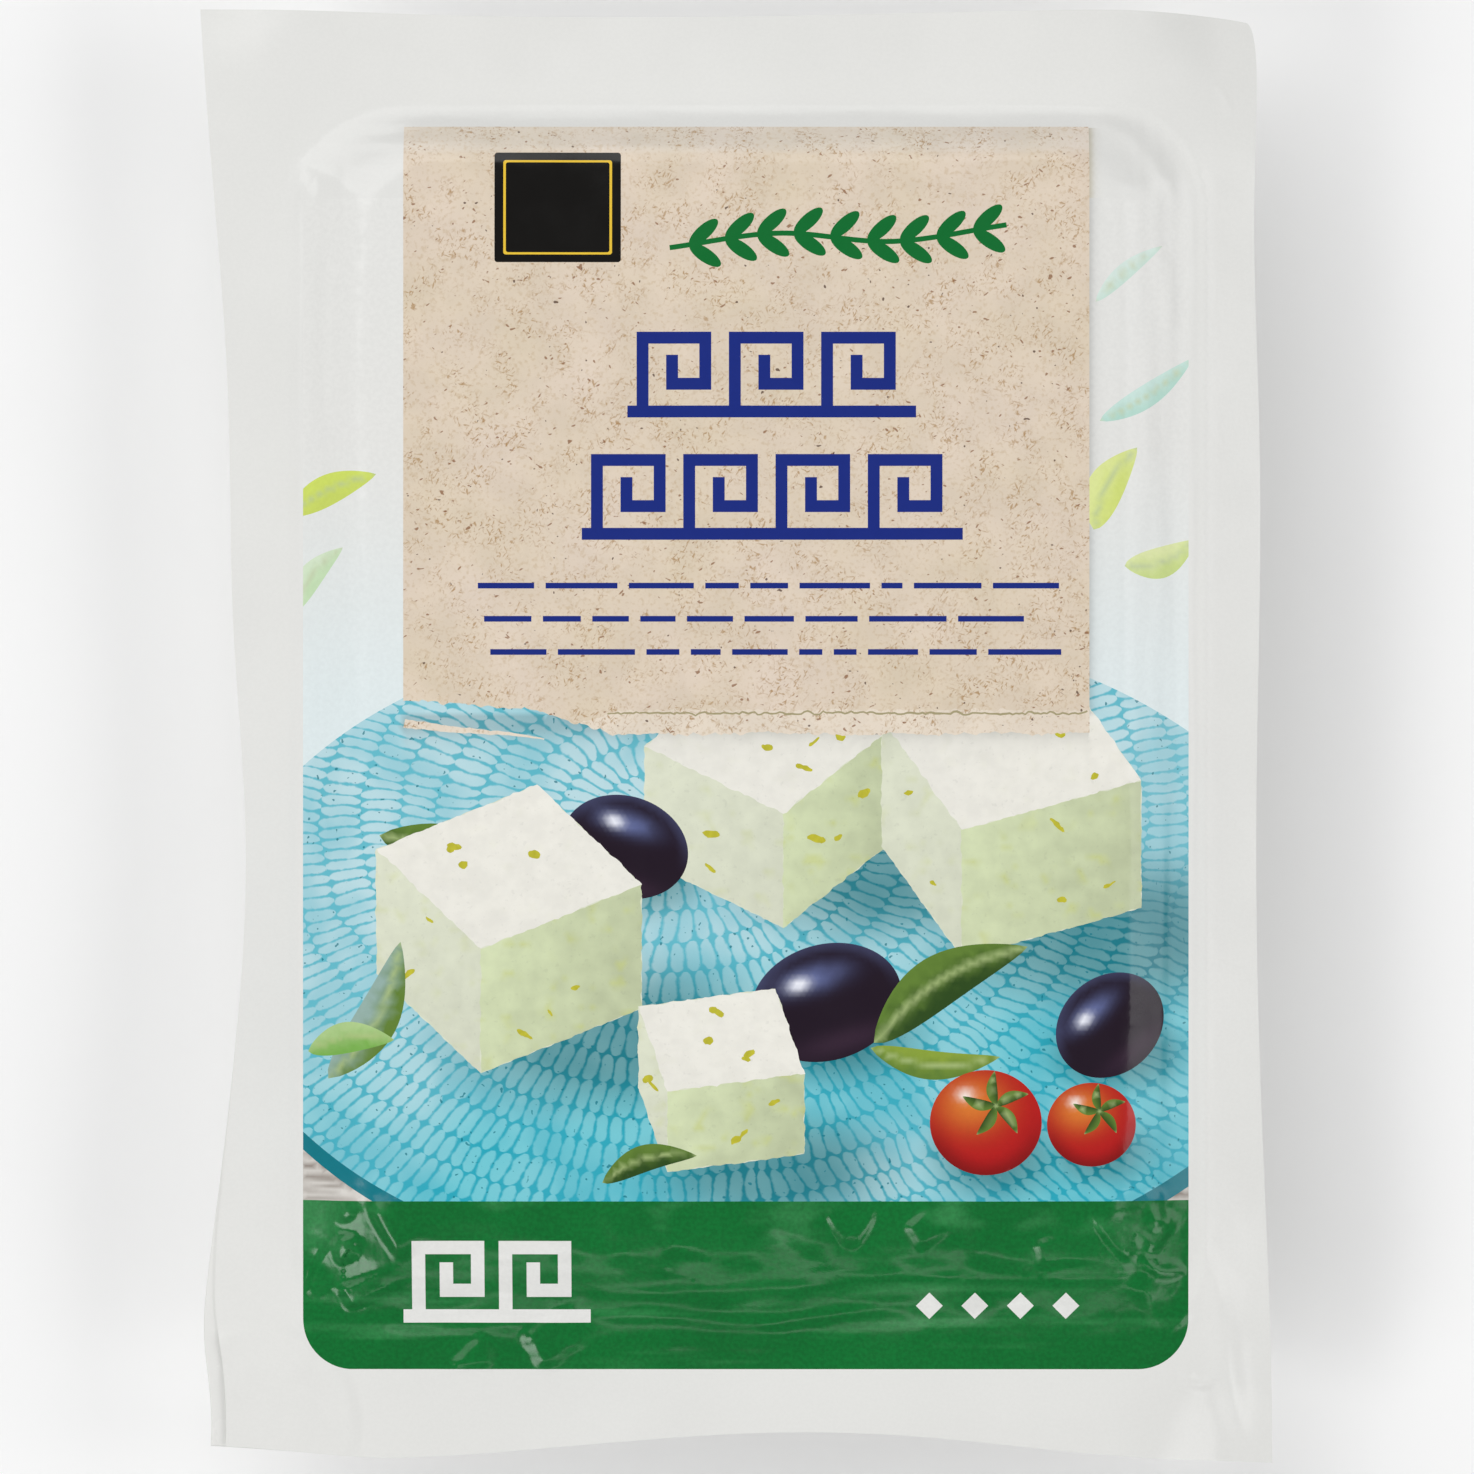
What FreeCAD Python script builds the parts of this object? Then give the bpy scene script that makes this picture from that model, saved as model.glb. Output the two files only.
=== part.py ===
"""Vacuum pack of a feta block.

The pack lies on its back, print side up. A white base film is formed into a pocket round the block of
cheese, and a printed top film is sealed to it all round. The pack can't be seen into, so the base film
and the block that fills it are one solid. The top film is a thin shell that lies on it.

Millimetres. +X is the pack's width, +Y runs to its head and +Z is up. The origin is at the bottom
centre of the pack's box.
"""

import FreeCAD
import Part
import Sketcher
import math
import os

PARTS_FOLDER = "parts"

# alias, value, what it measures
DIMENSIONS = [
    ("block_width", 77.4, "block of cheese across the pack"),
    ("block_length", 104.5, "block of cheese along the pack"),
    ("block_thick", 20.6, "block of cheese from back to front"),
    ("block_corner", 6.0, "radius of the block's upright edges"),
    ("slack_left", 5.3, "loose film between the block and the seal"),
    ("slack_right", 5.9, "loose film between the block and the seal"),
    ("slack_head", 5.3, "loose film between the block and the seal"),
    ("slack_foot", 12.2, "loose film between the block and the seal"),
    ("pocket_corner", 10.5, "radius of the pocket's corners at the seal"),
    ("flange_left", 8.7, "sealed rim at its widest"),
    ("flange_right", 6.7, "sealed rim at its widest"),
    ("flange_head", 8.8, "sealed rim at its widest"),
    ("flange_foot", 10.2, "sealed rim at its widest"),
    ("base_film", 0.2, "thickness of the formed base film"),
    ("top_film", 0.15, "thickness of the printed top film"),
    ("dome_rise", 4.1, "how far the block stands above the seal"),
    ("skirt_drop", 6.5, "height over which the base film closes on the block"),
    ("back_edge", 2.6, "rounding of the pocket's back edge"),
    ("left_waist", 4.3, "how far the left edge is pulled in"),
    ("foot_waist", 3.0, "how far the foot edge is pulled in"),
    ("right_waist", 1.7, "how far the right edge is pulled in"),
    ("head_waist", 0.8, "how far the head edge is pulled in"),
    ("peel_overhang", 1.5, "base film that shows past the top film beside the peel corner"),
]

# Sizes that follow from the sheet.
POCKET_WIDTH = "(sizes.block_width + sizes.slack_left + sizes.slack_right)"
POCKET_LENGTH = "(sizes.block_length + sizes.slack_head + sizes.slack_foot)"
PACK_WIDTH = f"({POCKET_WIDTH} + sizes.flange_left + sizes.flange_right)"
PACK_LENGTH = f"({POCKET_LENGTH} + sizes.flange_head + sizes.flange_foot)"
POCKET_X = "((sizes.flange_left - sizes.flange_right) / 2)"
POCKET_Y = "((sizes.flange_foot - sizes.flange_head) / 2)"
BLOCK_X = f"({POCKET_X} + (sizes.slack_left - sizes.slack_right) / 2)"
BLOCK_Y = f"({POCKET_Y} + (sizes.slack_foot - sizes.slack_head) / 2)"
WRAPPED_WIDTH = "(sizes.block_width + 2 * sizes.base_film)"
WRAPPED_LENGTH = "(sizes.block_length + 2 * sizes.base_film)"
SEAL_PLANE = "(sizes.base_film + sizes.block_thick - sizes.dome_rise)"
FLANGE_UNDERSIDE = f"({SEAL_PLANE} - sizes.base_film)"

# The rim's outline, side by side round the pack. A pole is its share of the way along the side, its pull
# inwards as a share of the side's waist, and its share of the peel corner's overhang. The last pole of
# each side is the first of the next one.
LEFT_SIDE = [
    (0.0, 0.0, 0),
    (0.1, 0.2, 0),
    (0.25, 0.75, 0),
    (0.42, 0.62, 0),
    (0.57, 1.2, 0),
    (0.74, 0.75, 0),
    (0.88, 0.2, 0.3),
    (0.92, 0.5, 1.3),
    (0.96, 0.6, 0.9),
]
FOOT_SIDE = [
    (0.024, 0.6, 1.0),
    (0.1, 0.45, 0),
    (0.15, 0.1, 0),
    (0.3, 0.45, 0),
    (0.52, 1.2, 0),
    (0.7, 0.95, 0),
    (0.85, 0.2, 0),
]
RIGHT_SIDE = [
    (0.0, 0.0, 0),
    (0.1, 0.1, 0),
    (0.24, 0.8, 0),
    (0.46, 1.15, 0),
    (0.68, 0.5, 0),
    (0.87, 1.45, 0),
    (0.95, 0.75, 0),
]
HEAD_CORNER = [
    (0.976, 1.0, 0),
    (0.998, 1.1, 0),
]
HEAD_SIDE = [
    (0.04, 0.15, 0),
    (0.18, 0.03, 0),
    (0.36, 0.5, 0),
    (0.5, 1.05, 0),
    (0.78, 1.05, 0),
    (0.9, 0.0, 0),
]

DOME_LEVELS = 8
SKIRT_LEVELS = 5
BACK_EDGE_LEVELS = 4


def make_sheet(doc):
    """The spreadsheet of driving dimensions, each in a cell with an alias."""
    sheet = doc.addObject("Spreadsheet::Sheet", "sizes")
    for row, (alias, value, meaning) in enumerate(DIMENSIONS, start=1):
        sheet.set(f"A{row}", alias)
        sheet.set(f"B{row}", str(value))
        sheet.set(f"C{row}", meaning)
        sheet.setAlias(f"B{row}", alias)
    doc.recompute()
    return sheet


def between(start, end, share):
    """The expression that lies that share of the way from start to end."""
    return f"({start} + ({end} - {start}) * {share:.6f})"


def sketch_at(body, name, height):
    """A sketch on the body's XY plane, raised to a height."""
    plane = next(feature for feature in body.Origin.OriginFeatures if feature.Role == "XY_Plane")
    sketch = body.newObject("Sketcher::SketchObject", name)
    sketch.AttachmentSupport = [(plane, "")]
    sketch.MapMode = "FlatFace"
    sketch.setExpression(".AttachmentOffset.Base.z", height)
    return sketch


def bind(sketch, kind, references, expression):
    """Adds a constraint whose value is an expression."""
    constraint = Sketcher.Constraint(kind, *references, sketch.evalExpression(expression))
    index = sketch.addConstraint(constraint)
    sketch.setExpression(f"Constraints[{index}]", expression)


def draw_rounded_rectangle(sketch, width, length, centre_x, centre_y, radius):
    """Draws a rounded rectangle whose sizes and centre are expressions."""
    reach_x = f"({width} / 2 - {radius})"
    reach_y = f"({length} / 2 - {radius})"
    corner = sketch.evalExpression(radius)
    middle = FreeCAD.Vector(sketch.evalExpression(centre_x), sketch.evalExpression(centre_y), 0)
    reach = FreeCAD.Vector(sketch.evalExpression(reach_x), sketch.evalExpression(reach_y), 0)
    up = FreeCAD.Vector(0, 0, 1)
    centres = []
    for side_x, side_y in ((1, 1), (-1, 1), (-1, -1), (1, -1)):
        centres.append(middle + FreeCAD.Vector(reach.x * side_x, reach.y * side_y, 0))
    for turn, centre in enumerate(centres):
        start = math.pi / 2 * turn
        circle = Part.Circle(centre, up, corner)
        sketch.addGeometry(Part.ArcOfCircle(circle, start, start + math.pi / 2), False)
    for turn, centre in enumerate(centres):
        angle = math.pi / 2 * (turn + 1)
        outward = FreeCAD.Vector(math.cos(angle), math.sin(angle), 0) * corner
        following = centres[(turn + 1) % 4]
        sketch.addGeometry(Part.LineSegment(centre + outward, following + outward), False)
    for arc in range(4):
        line = arc + 4
        sketch.addConstraint(Sketcher.Constraint("Tangent", arc, 2, line, 1))
        sketch.addConstraint(Sketcher.Constraint("Tangent", line, 2, (arc + 1) % 4, 1))
    for arc in range(1, 4):
        sketch.addConstraint(Sketcher.Constraint("Equal", 0, arc))
    bind(sketch, "Radius", (0,), radius)
    bind(sketch, "DistanceX", (-1, 1, 0, 3), f"{centre_x} + {reach_x}")
    bind(sketch, "DistanceY", (-1, 1, 0, 3), f"{centre_y} + {reach_y}")
    bind(sketch, "DistanceX", (-1, 1, 2, 3), f"{centre_x} - {reach_x}")
    bind(sketch, "DistanceY", (-1, 1, 2, 3), f"{centre_y} - {reach_y}")
    sketch.addConstraint(Sketcher.Constraint("Horizontal", 4))


def add_section(body, name, height, share, trim="0"):
    """A section between the seal's outline, at share 0, and the wrapped block's, at share 1.

    The trim is taken off all round.
    """
    sketch = sketch_at(body, name, height)
    draw_rounded_rectangle(
        sketch,
        f"({between(POCKET_WIDTH, WRAPPED_WIDTH, share)} - 2 * {trim})",
        f"({between(POCKET_LENGTH, WRAPPED_LENGTH, share)} - 2 * {trim})",
        between(POCKET_X, BLOCK_X, share),
        between(POCKET_Y, BLOCK_Y, share),
        f"({between('sizes.pocket_corner', 'sizes.block_corner', share)} - {trim})",
    )
    return sketch


def dome_sections(body, name, foot):
    """Sections of the soft rise from the seal, at the foot height, to the block's face."""
    sections = []
    for level in range(DOME_LEVELS + 1):
        share = level / DOME_LEVELS
        rise = (1 - math.cos(math.pi * share)) / 2
        height = f"{foot} + sizes.dome_rise * {rise:.6f}"
        sections.append(add_section(body, f"{name}_{level}", height, share))
    return sections


def pocket_sections(body):
    """Sections of the pocket from the rim down to the back: skirt, wall and rounded back edge."""
    sections = []
    for level in range(SKIRT_LEVELS + 1):
        turn = math.pi / 2 * level / SKIRT_LEVELS
        height = f"{FLANGE_UNDERSIDE} - sizes.skirt_drop * {1 - math.cos(turn):.6f}"
        sections.append(add_section(body, f"skirt_{level}", height, math.sin(turn)))
    for level in range(BACK_EDGE_LEVELS + 1):
        turn = math.pi / 2 * level / BACK_EDGE_LEVELS
        height = f"sizes.back_edge * {1 - math.sin(turn):.6f}"
        trim = f"(sizes.back_edge * {1 - math.cos(turn):.6f})"
        sections.append(add_section(body, f"back_edge_{level}", height, 1, trim))
    return sections


def loft(body, kind, name, sections):
    """A loft through the sections, added to the body or cut from it."""
    feature = body.newObject(f"PartDesign::{kind}Loft", name)
    feature.Profile = sections[0]
    feature.Sections = sections[1:]
    feature.Ruled = True
    return feature


def rim_poles(overhang):
    """The poles of each curve of the rim's outline, as pairs of expressions."""
    half_width = f"{PACK_WIDTH} / 2"
    half_length = f"{PACK_LENGTH} / 2"
    left = []
    for along, pull, bulge in LEFT_SIDE:
        x = f"sizes.left_waist * {pull} - {half_width} - {overhang} * {bulge}"
        left.append((x, f"{half_length} - {PACK_LENGTH} * {along}"))
    foot = []
    for along, pull, bulge in FOOT_SIDE:
        x = f"{PACK_WIDTH} * {along} - {half_width} - {overhang} * {bulge}"
        foot.append((x, f"sizes.foot_waist * {pull} - {half_length}"))
    right = []
    for along, pull, _ in RIGHT_SIDE + HEAD_CORNER:
        x = f"{half_width} - sizes.right_waist * {pull}"
        right.append((x, f"{PACK_LENGTH} * {along} - {half_length}"))
    head = []
    for along, pull, _ in HEAD_SIDE:
        x = f"{half_width} - {PACK_WIDTH} * {along}"
        head.append((x, f"{half_length} - sizes.head_waist * {pull}"))
    corner = right[len(RIGHT_SIDE):]
    right = right[: len(RIGHT_SIDE)]
    return [left, foot, right, corner, head]


def spline(points):
    """A clamped curve with these poles, cubic where it has enough of them."""
    degree = min(3, len(points) - 1)
    inner_knots = len(points) - degree - 1
    curve = Part.BSplineCurve()
    curve.buildFromPolesMultsKnots(
        points,
        [degree + 1] + [1] * inner_knots + [degree + 1],
        [float(knot) for knot in range(inner_knots + 2)],
        False,
        degree,
    )
    return curve


def draw_rim(sketch, overhang):
    """Draws the rim's outline, with every pole placed by expressions."""
    sides = rim_poles(overhang)
    curves = []
    for index, side in enumerate(sides):
        following = sides[(index + 1) % len(sides)]
        points = []
        for x, y in side + following[:1]:
            points.append(FreeCAD.Vector(sketch.evalExpression(x), sketch.evalExpression(y), 0))
        curve = sketch.addGeometry(spline(points), False)
        first_pole = sketch.GeometryCount
        sketch.exposeInternalGeometry(curve)
        for step, (x, y) in enumerate(side):
            bind(sketch, "DistanceX", (-1, 1, first_pole + step, 3), x)
            bind(sketch, "DistanceY", (-1, 1, first_pole + step, 3), y)
        curves.append(curve)
    for index, curve in enumerate(curves):
        following = curves[(index + 1) % len(curves)]
        sketch.addConstraint(Sketcher.Constraint("Coincident", curve, 2, following, 1))


def pad_rim(body, name, height, thickness, overhang):
    """The flat rim of one film."""
    sketch = sketch_at(body, f"{name}_outline", height)
    draw_rim(sketch, overhang)
    pad = body.newObject("PartDesign::Pad", name)
    pad.Profile = sketch
    pad.setExpression("Length", thickness)
    return pad


def make_formed_base(doc):
    """The base film's rim and pocket, with the block that fills it standing above the seal."""
    body = doc.addObject("PartDesign::Body", "formed_base")
    pad_rim(body, "base_rim", FLANGE_UNDERSIDE, "sizes.base_film", "sizes.peel_overhang")
    loft(body, "Additive", "pocket", pocket_sections(body))
    loft(body, "Additive", "block_face", dome_sections(body, "face", SEAL_PLANE))
    return body


def make_top_film(doc):
    """The printed film: a flat rim and a thin dome over the block."""
    body = doc.addObject("PartDesign::Body", "top_film")
    pad_rim(body, "film_rim", SEAL_PLANE, "sizes.top_film", "0")
    loft(body, "Additive", "dome", dome_sections(body, "outside", f"({SEAL_PLANE} + sizes.top_film)"))
    loft(body, "Subtractive", "hollow", dome_sections(body, "inside", SEAL_PLANE))
    return body


def check(doc, bodies):
    """Stops the build if any object failed or a body isn't one valid solid."""
    for item in doc.Objects:
        if "Invalid" in item.State or "Error" in item.State:
            raise RuntimeError(f"{item.Name} failed: {item.State}")
    for body in bodies:
        if body.Shape.isNull() or not body.Shape.isValid() or len(body.Shape.Solids) != 1:
            raise RuntimeError(f"{body.Label} isn't one valid solid")


def main():
    os.makedirs(PARTS_FOLDER, exist_ok=True)
    doc = FreeCAD.newDocument("feta_pack")
    make_sheet(doc)
    bodies = [make_formed_base(doc), make_top_film(doc)]
    for body in bodies:
        body.Placement = FreeCAD.Placement()
    doc.recompute()
    check(doc, bodies)
    for body in bodies:
        body.Shape.exportStep(f"{PARTS_FOLDER}/{body.Label}.step")
        box = body.Shape.BoundBox
        print(f"{body.Label}: {body.Shape.Volume:.0f} mm3, {box}")


main()
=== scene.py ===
"""Looks of the vacuum pack of feta: printed top film, formed base film, studio floor, light and camera.

Shapes are worked out in millimetres in the row frame and turned into metres when a mesh is made.
"""

import math

import bpy
import numpy as np
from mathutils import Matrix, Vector
from mathutils.geometry import delaunay_2d_cdt


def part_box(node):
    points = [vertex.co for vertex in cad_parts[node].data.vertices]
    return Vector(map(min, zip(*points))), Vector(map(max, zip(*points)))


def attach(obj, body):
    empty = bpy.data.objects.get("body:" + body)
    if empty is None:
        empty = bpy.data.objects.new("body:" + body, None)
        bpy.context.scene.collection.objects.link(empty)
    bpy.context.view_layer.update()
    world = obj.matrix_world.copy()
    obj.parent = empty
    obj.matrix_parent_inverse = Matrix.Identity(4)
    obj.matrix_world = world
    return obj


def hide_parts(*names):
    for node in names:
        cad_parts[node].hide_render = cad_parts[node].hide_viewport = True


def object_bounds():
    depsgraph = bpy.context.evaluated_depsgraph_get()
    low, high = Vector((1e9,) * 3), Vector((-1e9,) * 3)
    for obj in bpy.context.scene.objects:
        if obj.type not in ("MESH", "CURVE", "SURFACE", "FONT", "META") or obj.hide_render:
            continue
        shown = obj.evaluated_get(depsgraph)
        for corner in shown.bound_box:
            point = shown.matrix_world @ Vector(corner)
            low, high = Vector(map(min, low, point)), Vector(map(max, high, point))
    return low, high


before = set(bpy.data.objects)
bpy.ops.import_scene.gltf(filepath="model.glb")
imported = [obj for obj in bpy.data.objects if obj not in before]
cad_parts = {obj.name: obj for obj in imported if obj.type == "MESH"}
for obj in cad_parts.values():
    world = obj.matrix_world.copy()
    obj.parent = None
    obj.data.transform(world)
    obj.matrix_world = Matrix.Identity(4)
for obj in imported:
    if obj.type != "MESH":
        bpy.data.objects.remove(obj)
cad_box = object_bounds()

MM = 0.001

# ---- sizes, in millimetres

HALF_WIDTH = (cad_box[1].x - cad_box[0].x) / 2 / MM
HALF_LENGTH = (cad_box[1].y - cad_box[0].y) / 2 / MM
PACK_HEIGHT = cad_box[1].z / MM
SEAL_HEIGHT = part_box("top_film")[0].z / MM

FLANGE_LEFT, FLANGE_RIGHT, FLANGE_HEAD, FLANGE_FOOT = 8.7, 6.7, 8.8, 10.2
SLACK_LEFT, SLACK_RIGHT, SLACK_HEAD, SLACK_FOOT = 5.3, 5.9, 5.3, 12.2
SEAL_CORNER = 10.5
BLOCK_CORNER = 6.0
TOP_FILM = 0.15
BASE_FILM = 0.2
SKIRT_DROP = 6.5
BACK_EDGE = 2.6
PEEL_OVERHANG = 1.5
LEFT_WAIST, FOOT_WAIST, RIGHT_WAIST, HEAD_WAIST = 4.3, 3.0, 1.7, 0.8

# The rim's outline: share along the side, share of its waist, share of the overhang.
LEFT_SIDE = [(0.0, 0.0, 0), (0.1, 0.2, 0), (0.25, 0.75, 0), (0.42, 0.62, 0), (0.57, 1.2, 0),
             (0.74, 0.75, 0), (0.88, 0.2, 0.3), (0.92, 0.5, 1.3), (0.96, 0.6, 0.9)]
FOOT_SIDE = [(0.024, 0.6, 1.0), (0.1, 0.45, 0), (0.15, 0.1, 0), (0.3, 0.45, 0), (0.52, 1.2, 0),
             (0.7, 0.95, 0), (0.85, 0.2, 0)]
RIGHT_SIDE = [(0.0, 0.0, 0), (0.1, 0.1, 0), (0.24, 0.8, 0), (0.46, 1.15, 0), (0.68, 0.5, 0),
              (0.87, 1.45, 0), (0.95, 0.75, 0)]
HEAD_CORNER = [(0.976, 1.0, 0), (0.9925, 1.15, 0)]
HEAD_SIDE = [(0.026, 1.35, 0), (0.05, 0.75, 0), (0.12, 0.0, 0), (0.2, 0.1, 0), (0.36, 0.5, 0), (0.5, 1.05, 0),
             (0.78, 1.05, 0), (0.9, 0.0, 0)]


class RoundedRectangle:
    """A rounded rectangle given by its left, foot, right and head edges."""

    def __init__(self, left, foot, right, head, radius):
        self.centre = np.array([(left + right) / 2, (foot + head) / 2])
        self.half = np.array([(right - left) / 2, (head - foot) / 2])
        self.radius = radius

    def distance(self, x, y):
        """Signed distance, negative inside."""
        over_x = np.abs(x - self.centre[0]) - (self.half[0] - self.radius)
        over_y = np.abs(y - self.centre[1]) - (self.half[1] - self.radius)
        outside = np.hypot(np.maximum(over_x, 0), np.maximum(over_y, 0))
        return outside + np.minimum(np.maximum(over_x, over_y), 0) - self.radius

    def shrunk(self, trim):
        low, high = self.centre - self.half, self.centre + self.half
        return RoundedRectangle(low[0] + trim, low[1] + trim, high[0] - trim, high[1] - trim,
                                max(self.radius - trim, 0.3))


SEAL = RoundedRectangle(FLANGE_LEFT - HALF_WIDTH, FLANGE_FOOT - HALF_LENGTH,
                        HALF_WIDTH - FLANGE_RIGHT, HALF_LENGTH - FLANGE_HEAD, SEAL_CORNER)
BLOCK = RoundedRectangle(FLANGE_LEFT + SLACK_LEFT - HALF_WIDTH, FLANGE_FOOT + SLACK_FOOT - HALF_LENGTH,
                         HALF_WIDTH - FLANGE_RIGHT - SLACK_RIGHT, HALF_LENGTH - FLANGE_HEAD - SLACK_HEAD,
                         BLOCK_CORNER)
RISE = PACK_HEIGHT - TOP_FILM - SEAL_HEIGHT
SHOULDER_SIDES, SHOULDER_HEAD, SHOULDER_FOOT = 3.0, 1.2, 2.0
BLOCK_LOW = BLOCK.centre - BLOCK.half
BLOCK_HIGH = BLOCK.centre + BLOCK.half
TOP_FACE = RoundedRectangle(BLOCK_LOW[0] + SHOULDER_SIDES, BLOCK_LOW[1] + SHOULDER_FOOT,
                            BLOCK_HIGH[0] - SHOULDER_SIDES, BLOCK_HIGH[1] - SHOULDER_HEAD, BLOCK_CORNER)

# ---- number helpers


def ramp(value, start, end):
    """0 before start, 1 after end, smooth between."""
    share = np.clip((value - start) / (end - start), 0, 1)
    return share * share * (3 - 2 * share)


def lattice_angle(column, row, seed):
    """A direction for each lattice point, the same on every run."""
    mixed = (column * 374761393 + row * 668265263 + seed * 974634777) & 0xFFFFFFFF
    mixed = ((mixed ^ (mixed >> 13)) * 1274126177) & 0xFFFFFFFF
    mixed = mixed ^ (mixed >> 16)
    return mixed / 2**32 * 2 * math.pi


def noise(x, y, seed):
    """Smooth gradient noise with cells of one unit, from about -1 to 1."""
    x, y = np.asarray(x, float), np.asarray(y, float)
    column, row = np.floor(x).astype(np.int64), np.floor(y).astype(np.int64)
    dx, dy = x - column, y - row
    fade_x = dx**3 * (dx * (dx * 6 - 15) + 10)
    fade_y = dy**3 * (dy * (dy * 6 - 15) + 10)
    corners = []
    for step_y in (0, 1):
        for step_x in (0, 1):
            angle = lattice_angle(column + step_x, row + step_y, seed)
            corners.append(np.cos(angle) * (dx - step_x) + np.sin(angle) * (dy - step_y))
    low = corners[0] + fade_x * (corners[1] - corners[0])
    high = corners[2] + fade_x * (corners[3] - corners[2])
    return (low + fade_y * (high - low)) * 1.5


def layered_noise(x, y, seed, layers=3):
    total = 0
    for layer in range(layers):
        total = total + noise(x * 2**layer, y * 2**layer, seed + layer) / 2**layer
    return total


def spline_points(poles, per_span):
    """Points of a clamped cubic B-spline with these poles, by de Boor's rule, last point left off."""
    poles = np.array(poles, float)
    degree = min(3, len(poles) - 1)
    spans = len(poles) - degree
    knots = np.concatenate([np.zeros(degree), np.arange(spans + 1), np.full(degree, spans)])
    points = []
    for value in np.arange(spans * per_span) / per_span:
        span = int(value) + degree
        held = [poles[span - degree + step].copy() for step in range(degree + 1)]
        for level in range(1, degree + 1):
            for step in range(degree, level - 1, -1):
                at = span - degree + step
                share = (value - knots[at]) / (knots[at + degree - level + 1] - knots[at])
                held[step] = held[step - 1] * (1 - share) + held[step] * share
        points.append(held[degree])
    return np.array(points)


def dense(points, step):
    """The same closed line with a point at least every step."""
    points = np.array(points, float)
    result = []
    for start, end in zip(points, np.roll(points, -1, axis=0)):
        count = max(1, math.ceil(np.hypot(*(end - start)) / step))
        result += [start + (end - start) * index / count for index in range(count)]
    return np.array(result)


def smooth_path(points, step=0.4):
    """A soft curve through the points, by Catmull and Rom's rule."""
    points = np.array(points, float)
    padded = np.vstack([2 * points[0] - points[1], points, 2 * points[-1] - points[-2]])
    result = []
    for index in range(len(points) - 1):
        before, start, end, after = padded[index:index + 4]
        count = max(2, math.ceil(np.hypot(*(end - start)) / step))
        for share in np.arange(count) / count:
            result.append(0.5 * (2 * start + (end - before) * share
                                 + (2 * before - 5 * start + 4 * end - after) * share**2
                                 + (3 * start - before - 3 * end + after) * share**3))
    result.append(points[-1])
    return np.array(result)


def rim_outline(overhang, per_span=36):
    """The free edge of one film, all round."""
    width, length = 2 * HALF_WIDTH, 2 * HALF_LENGTH
    left = [(LEFT_WAIST * pull - HALF_WIDTH - overhang * bulge, HALF_LENGTH - length * along)
            for along, pull, bulge in LEFT_SIDE]
    foot = [(width * along - HALF_WIDTH - overhang * bulge, FOOT_WAIST * pull - HALF_LENGTH)
            for along, pull, bulge in FOOT_SIDE]
    right, corner = ([(HALF_WIDTH - RIGHT_WAIST * pull, length * along - HALF_LENGTH)
                      for along, pull, _ in side] for side in (RIGHT_SIDE, HEAD_CORNER))
    head = [(HALF_WIDTH - width * along, HALF_LENGTH - HEAD_WAIST * pull) for along, pull, _ in HEAD_SIDE]
    sides = [left, foot, right, corner, head]
    following = sides[1:] + sides[:1]
    return np.vstack([spline_points(side + after[:1], per_span) for side, after in zip(sides, following)])


# ---- the film's shape


def block_share(x, y):
    """0 at the seal and outside it, 1 on the block's top face inside its soft shoulder."""
    from_seal = -SEAL.distance(x, y)
    to_block = np.maximum(TOP_FACE.distance(x, y), 0)
    return np.clip(from_seal / np.maximum(from_seal + to_block, 1e-6), 0, 1)


def rim_height(x, y):
    """How the sealed rim bends away from the flat: its right side droops, and all of it waves softly."""
    out = np.maximum(SEAL.distance(x, y), 0)
    right = ramp(x, 36, 47)
    head = ramp(y, 50, 64)
    left = ramp(-x, 38, 48)
    droop = 0.03 + 0.2 * right + 0.1 * right * head + 0.03 * left
    wave = 0.5 * noise(x / 23 + 5.3, y / 19 + 1.7, 11) + 0.14 * noise(x / 7, y / 8 + 0.4, 12)
    return wave * ramp(out, 0, 7) - out * droop


def soft_height(x, y):
    """Height of the film's outer face above the seal, without its wrinkles."""
    share = block_share(x, y)
    rise = RISE * (1 - np.cos(math.pi * share)) / 2
    sag = 0.3 * ramp(-BLOCK.distance(x, y), 9, -1)
    belly = 0.22 * noise(x / 17 + 0.3, y / 21 + 0.8, 21) + 0.07 * noise(x / 6, y / 7, 22)
    return rise - (sag + 0.28 - belly) * ramp(share, 0, 1) + rim_height(x, y)


PEEL_CENTRE = (-46.0, -66.2)
PEEL_RADIUS = 10.0
PEEL_HEIGHT = 0.24
SEAL_LINE, SEAL_LINE_WIDTH = 0.045, 0.6


def peel_lift(x, y):
    """The unsealed corner, where the top film stands off the base film behind a curved seal line."""
    reach = np.hypot(x - PEEL_CENTRE[0], y - PEEL_CENTRE[1])
    folds = 0.05 * noise(x / 2.6, y / 3.1, 32) + 0.1 * noise((x - y) / 9, (x + y) / 2.8, 31)
    return ramp(PEEL_RADIUS - reach, 0, 1.6) * (PEEL_HEIGHT + folds)


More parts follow.
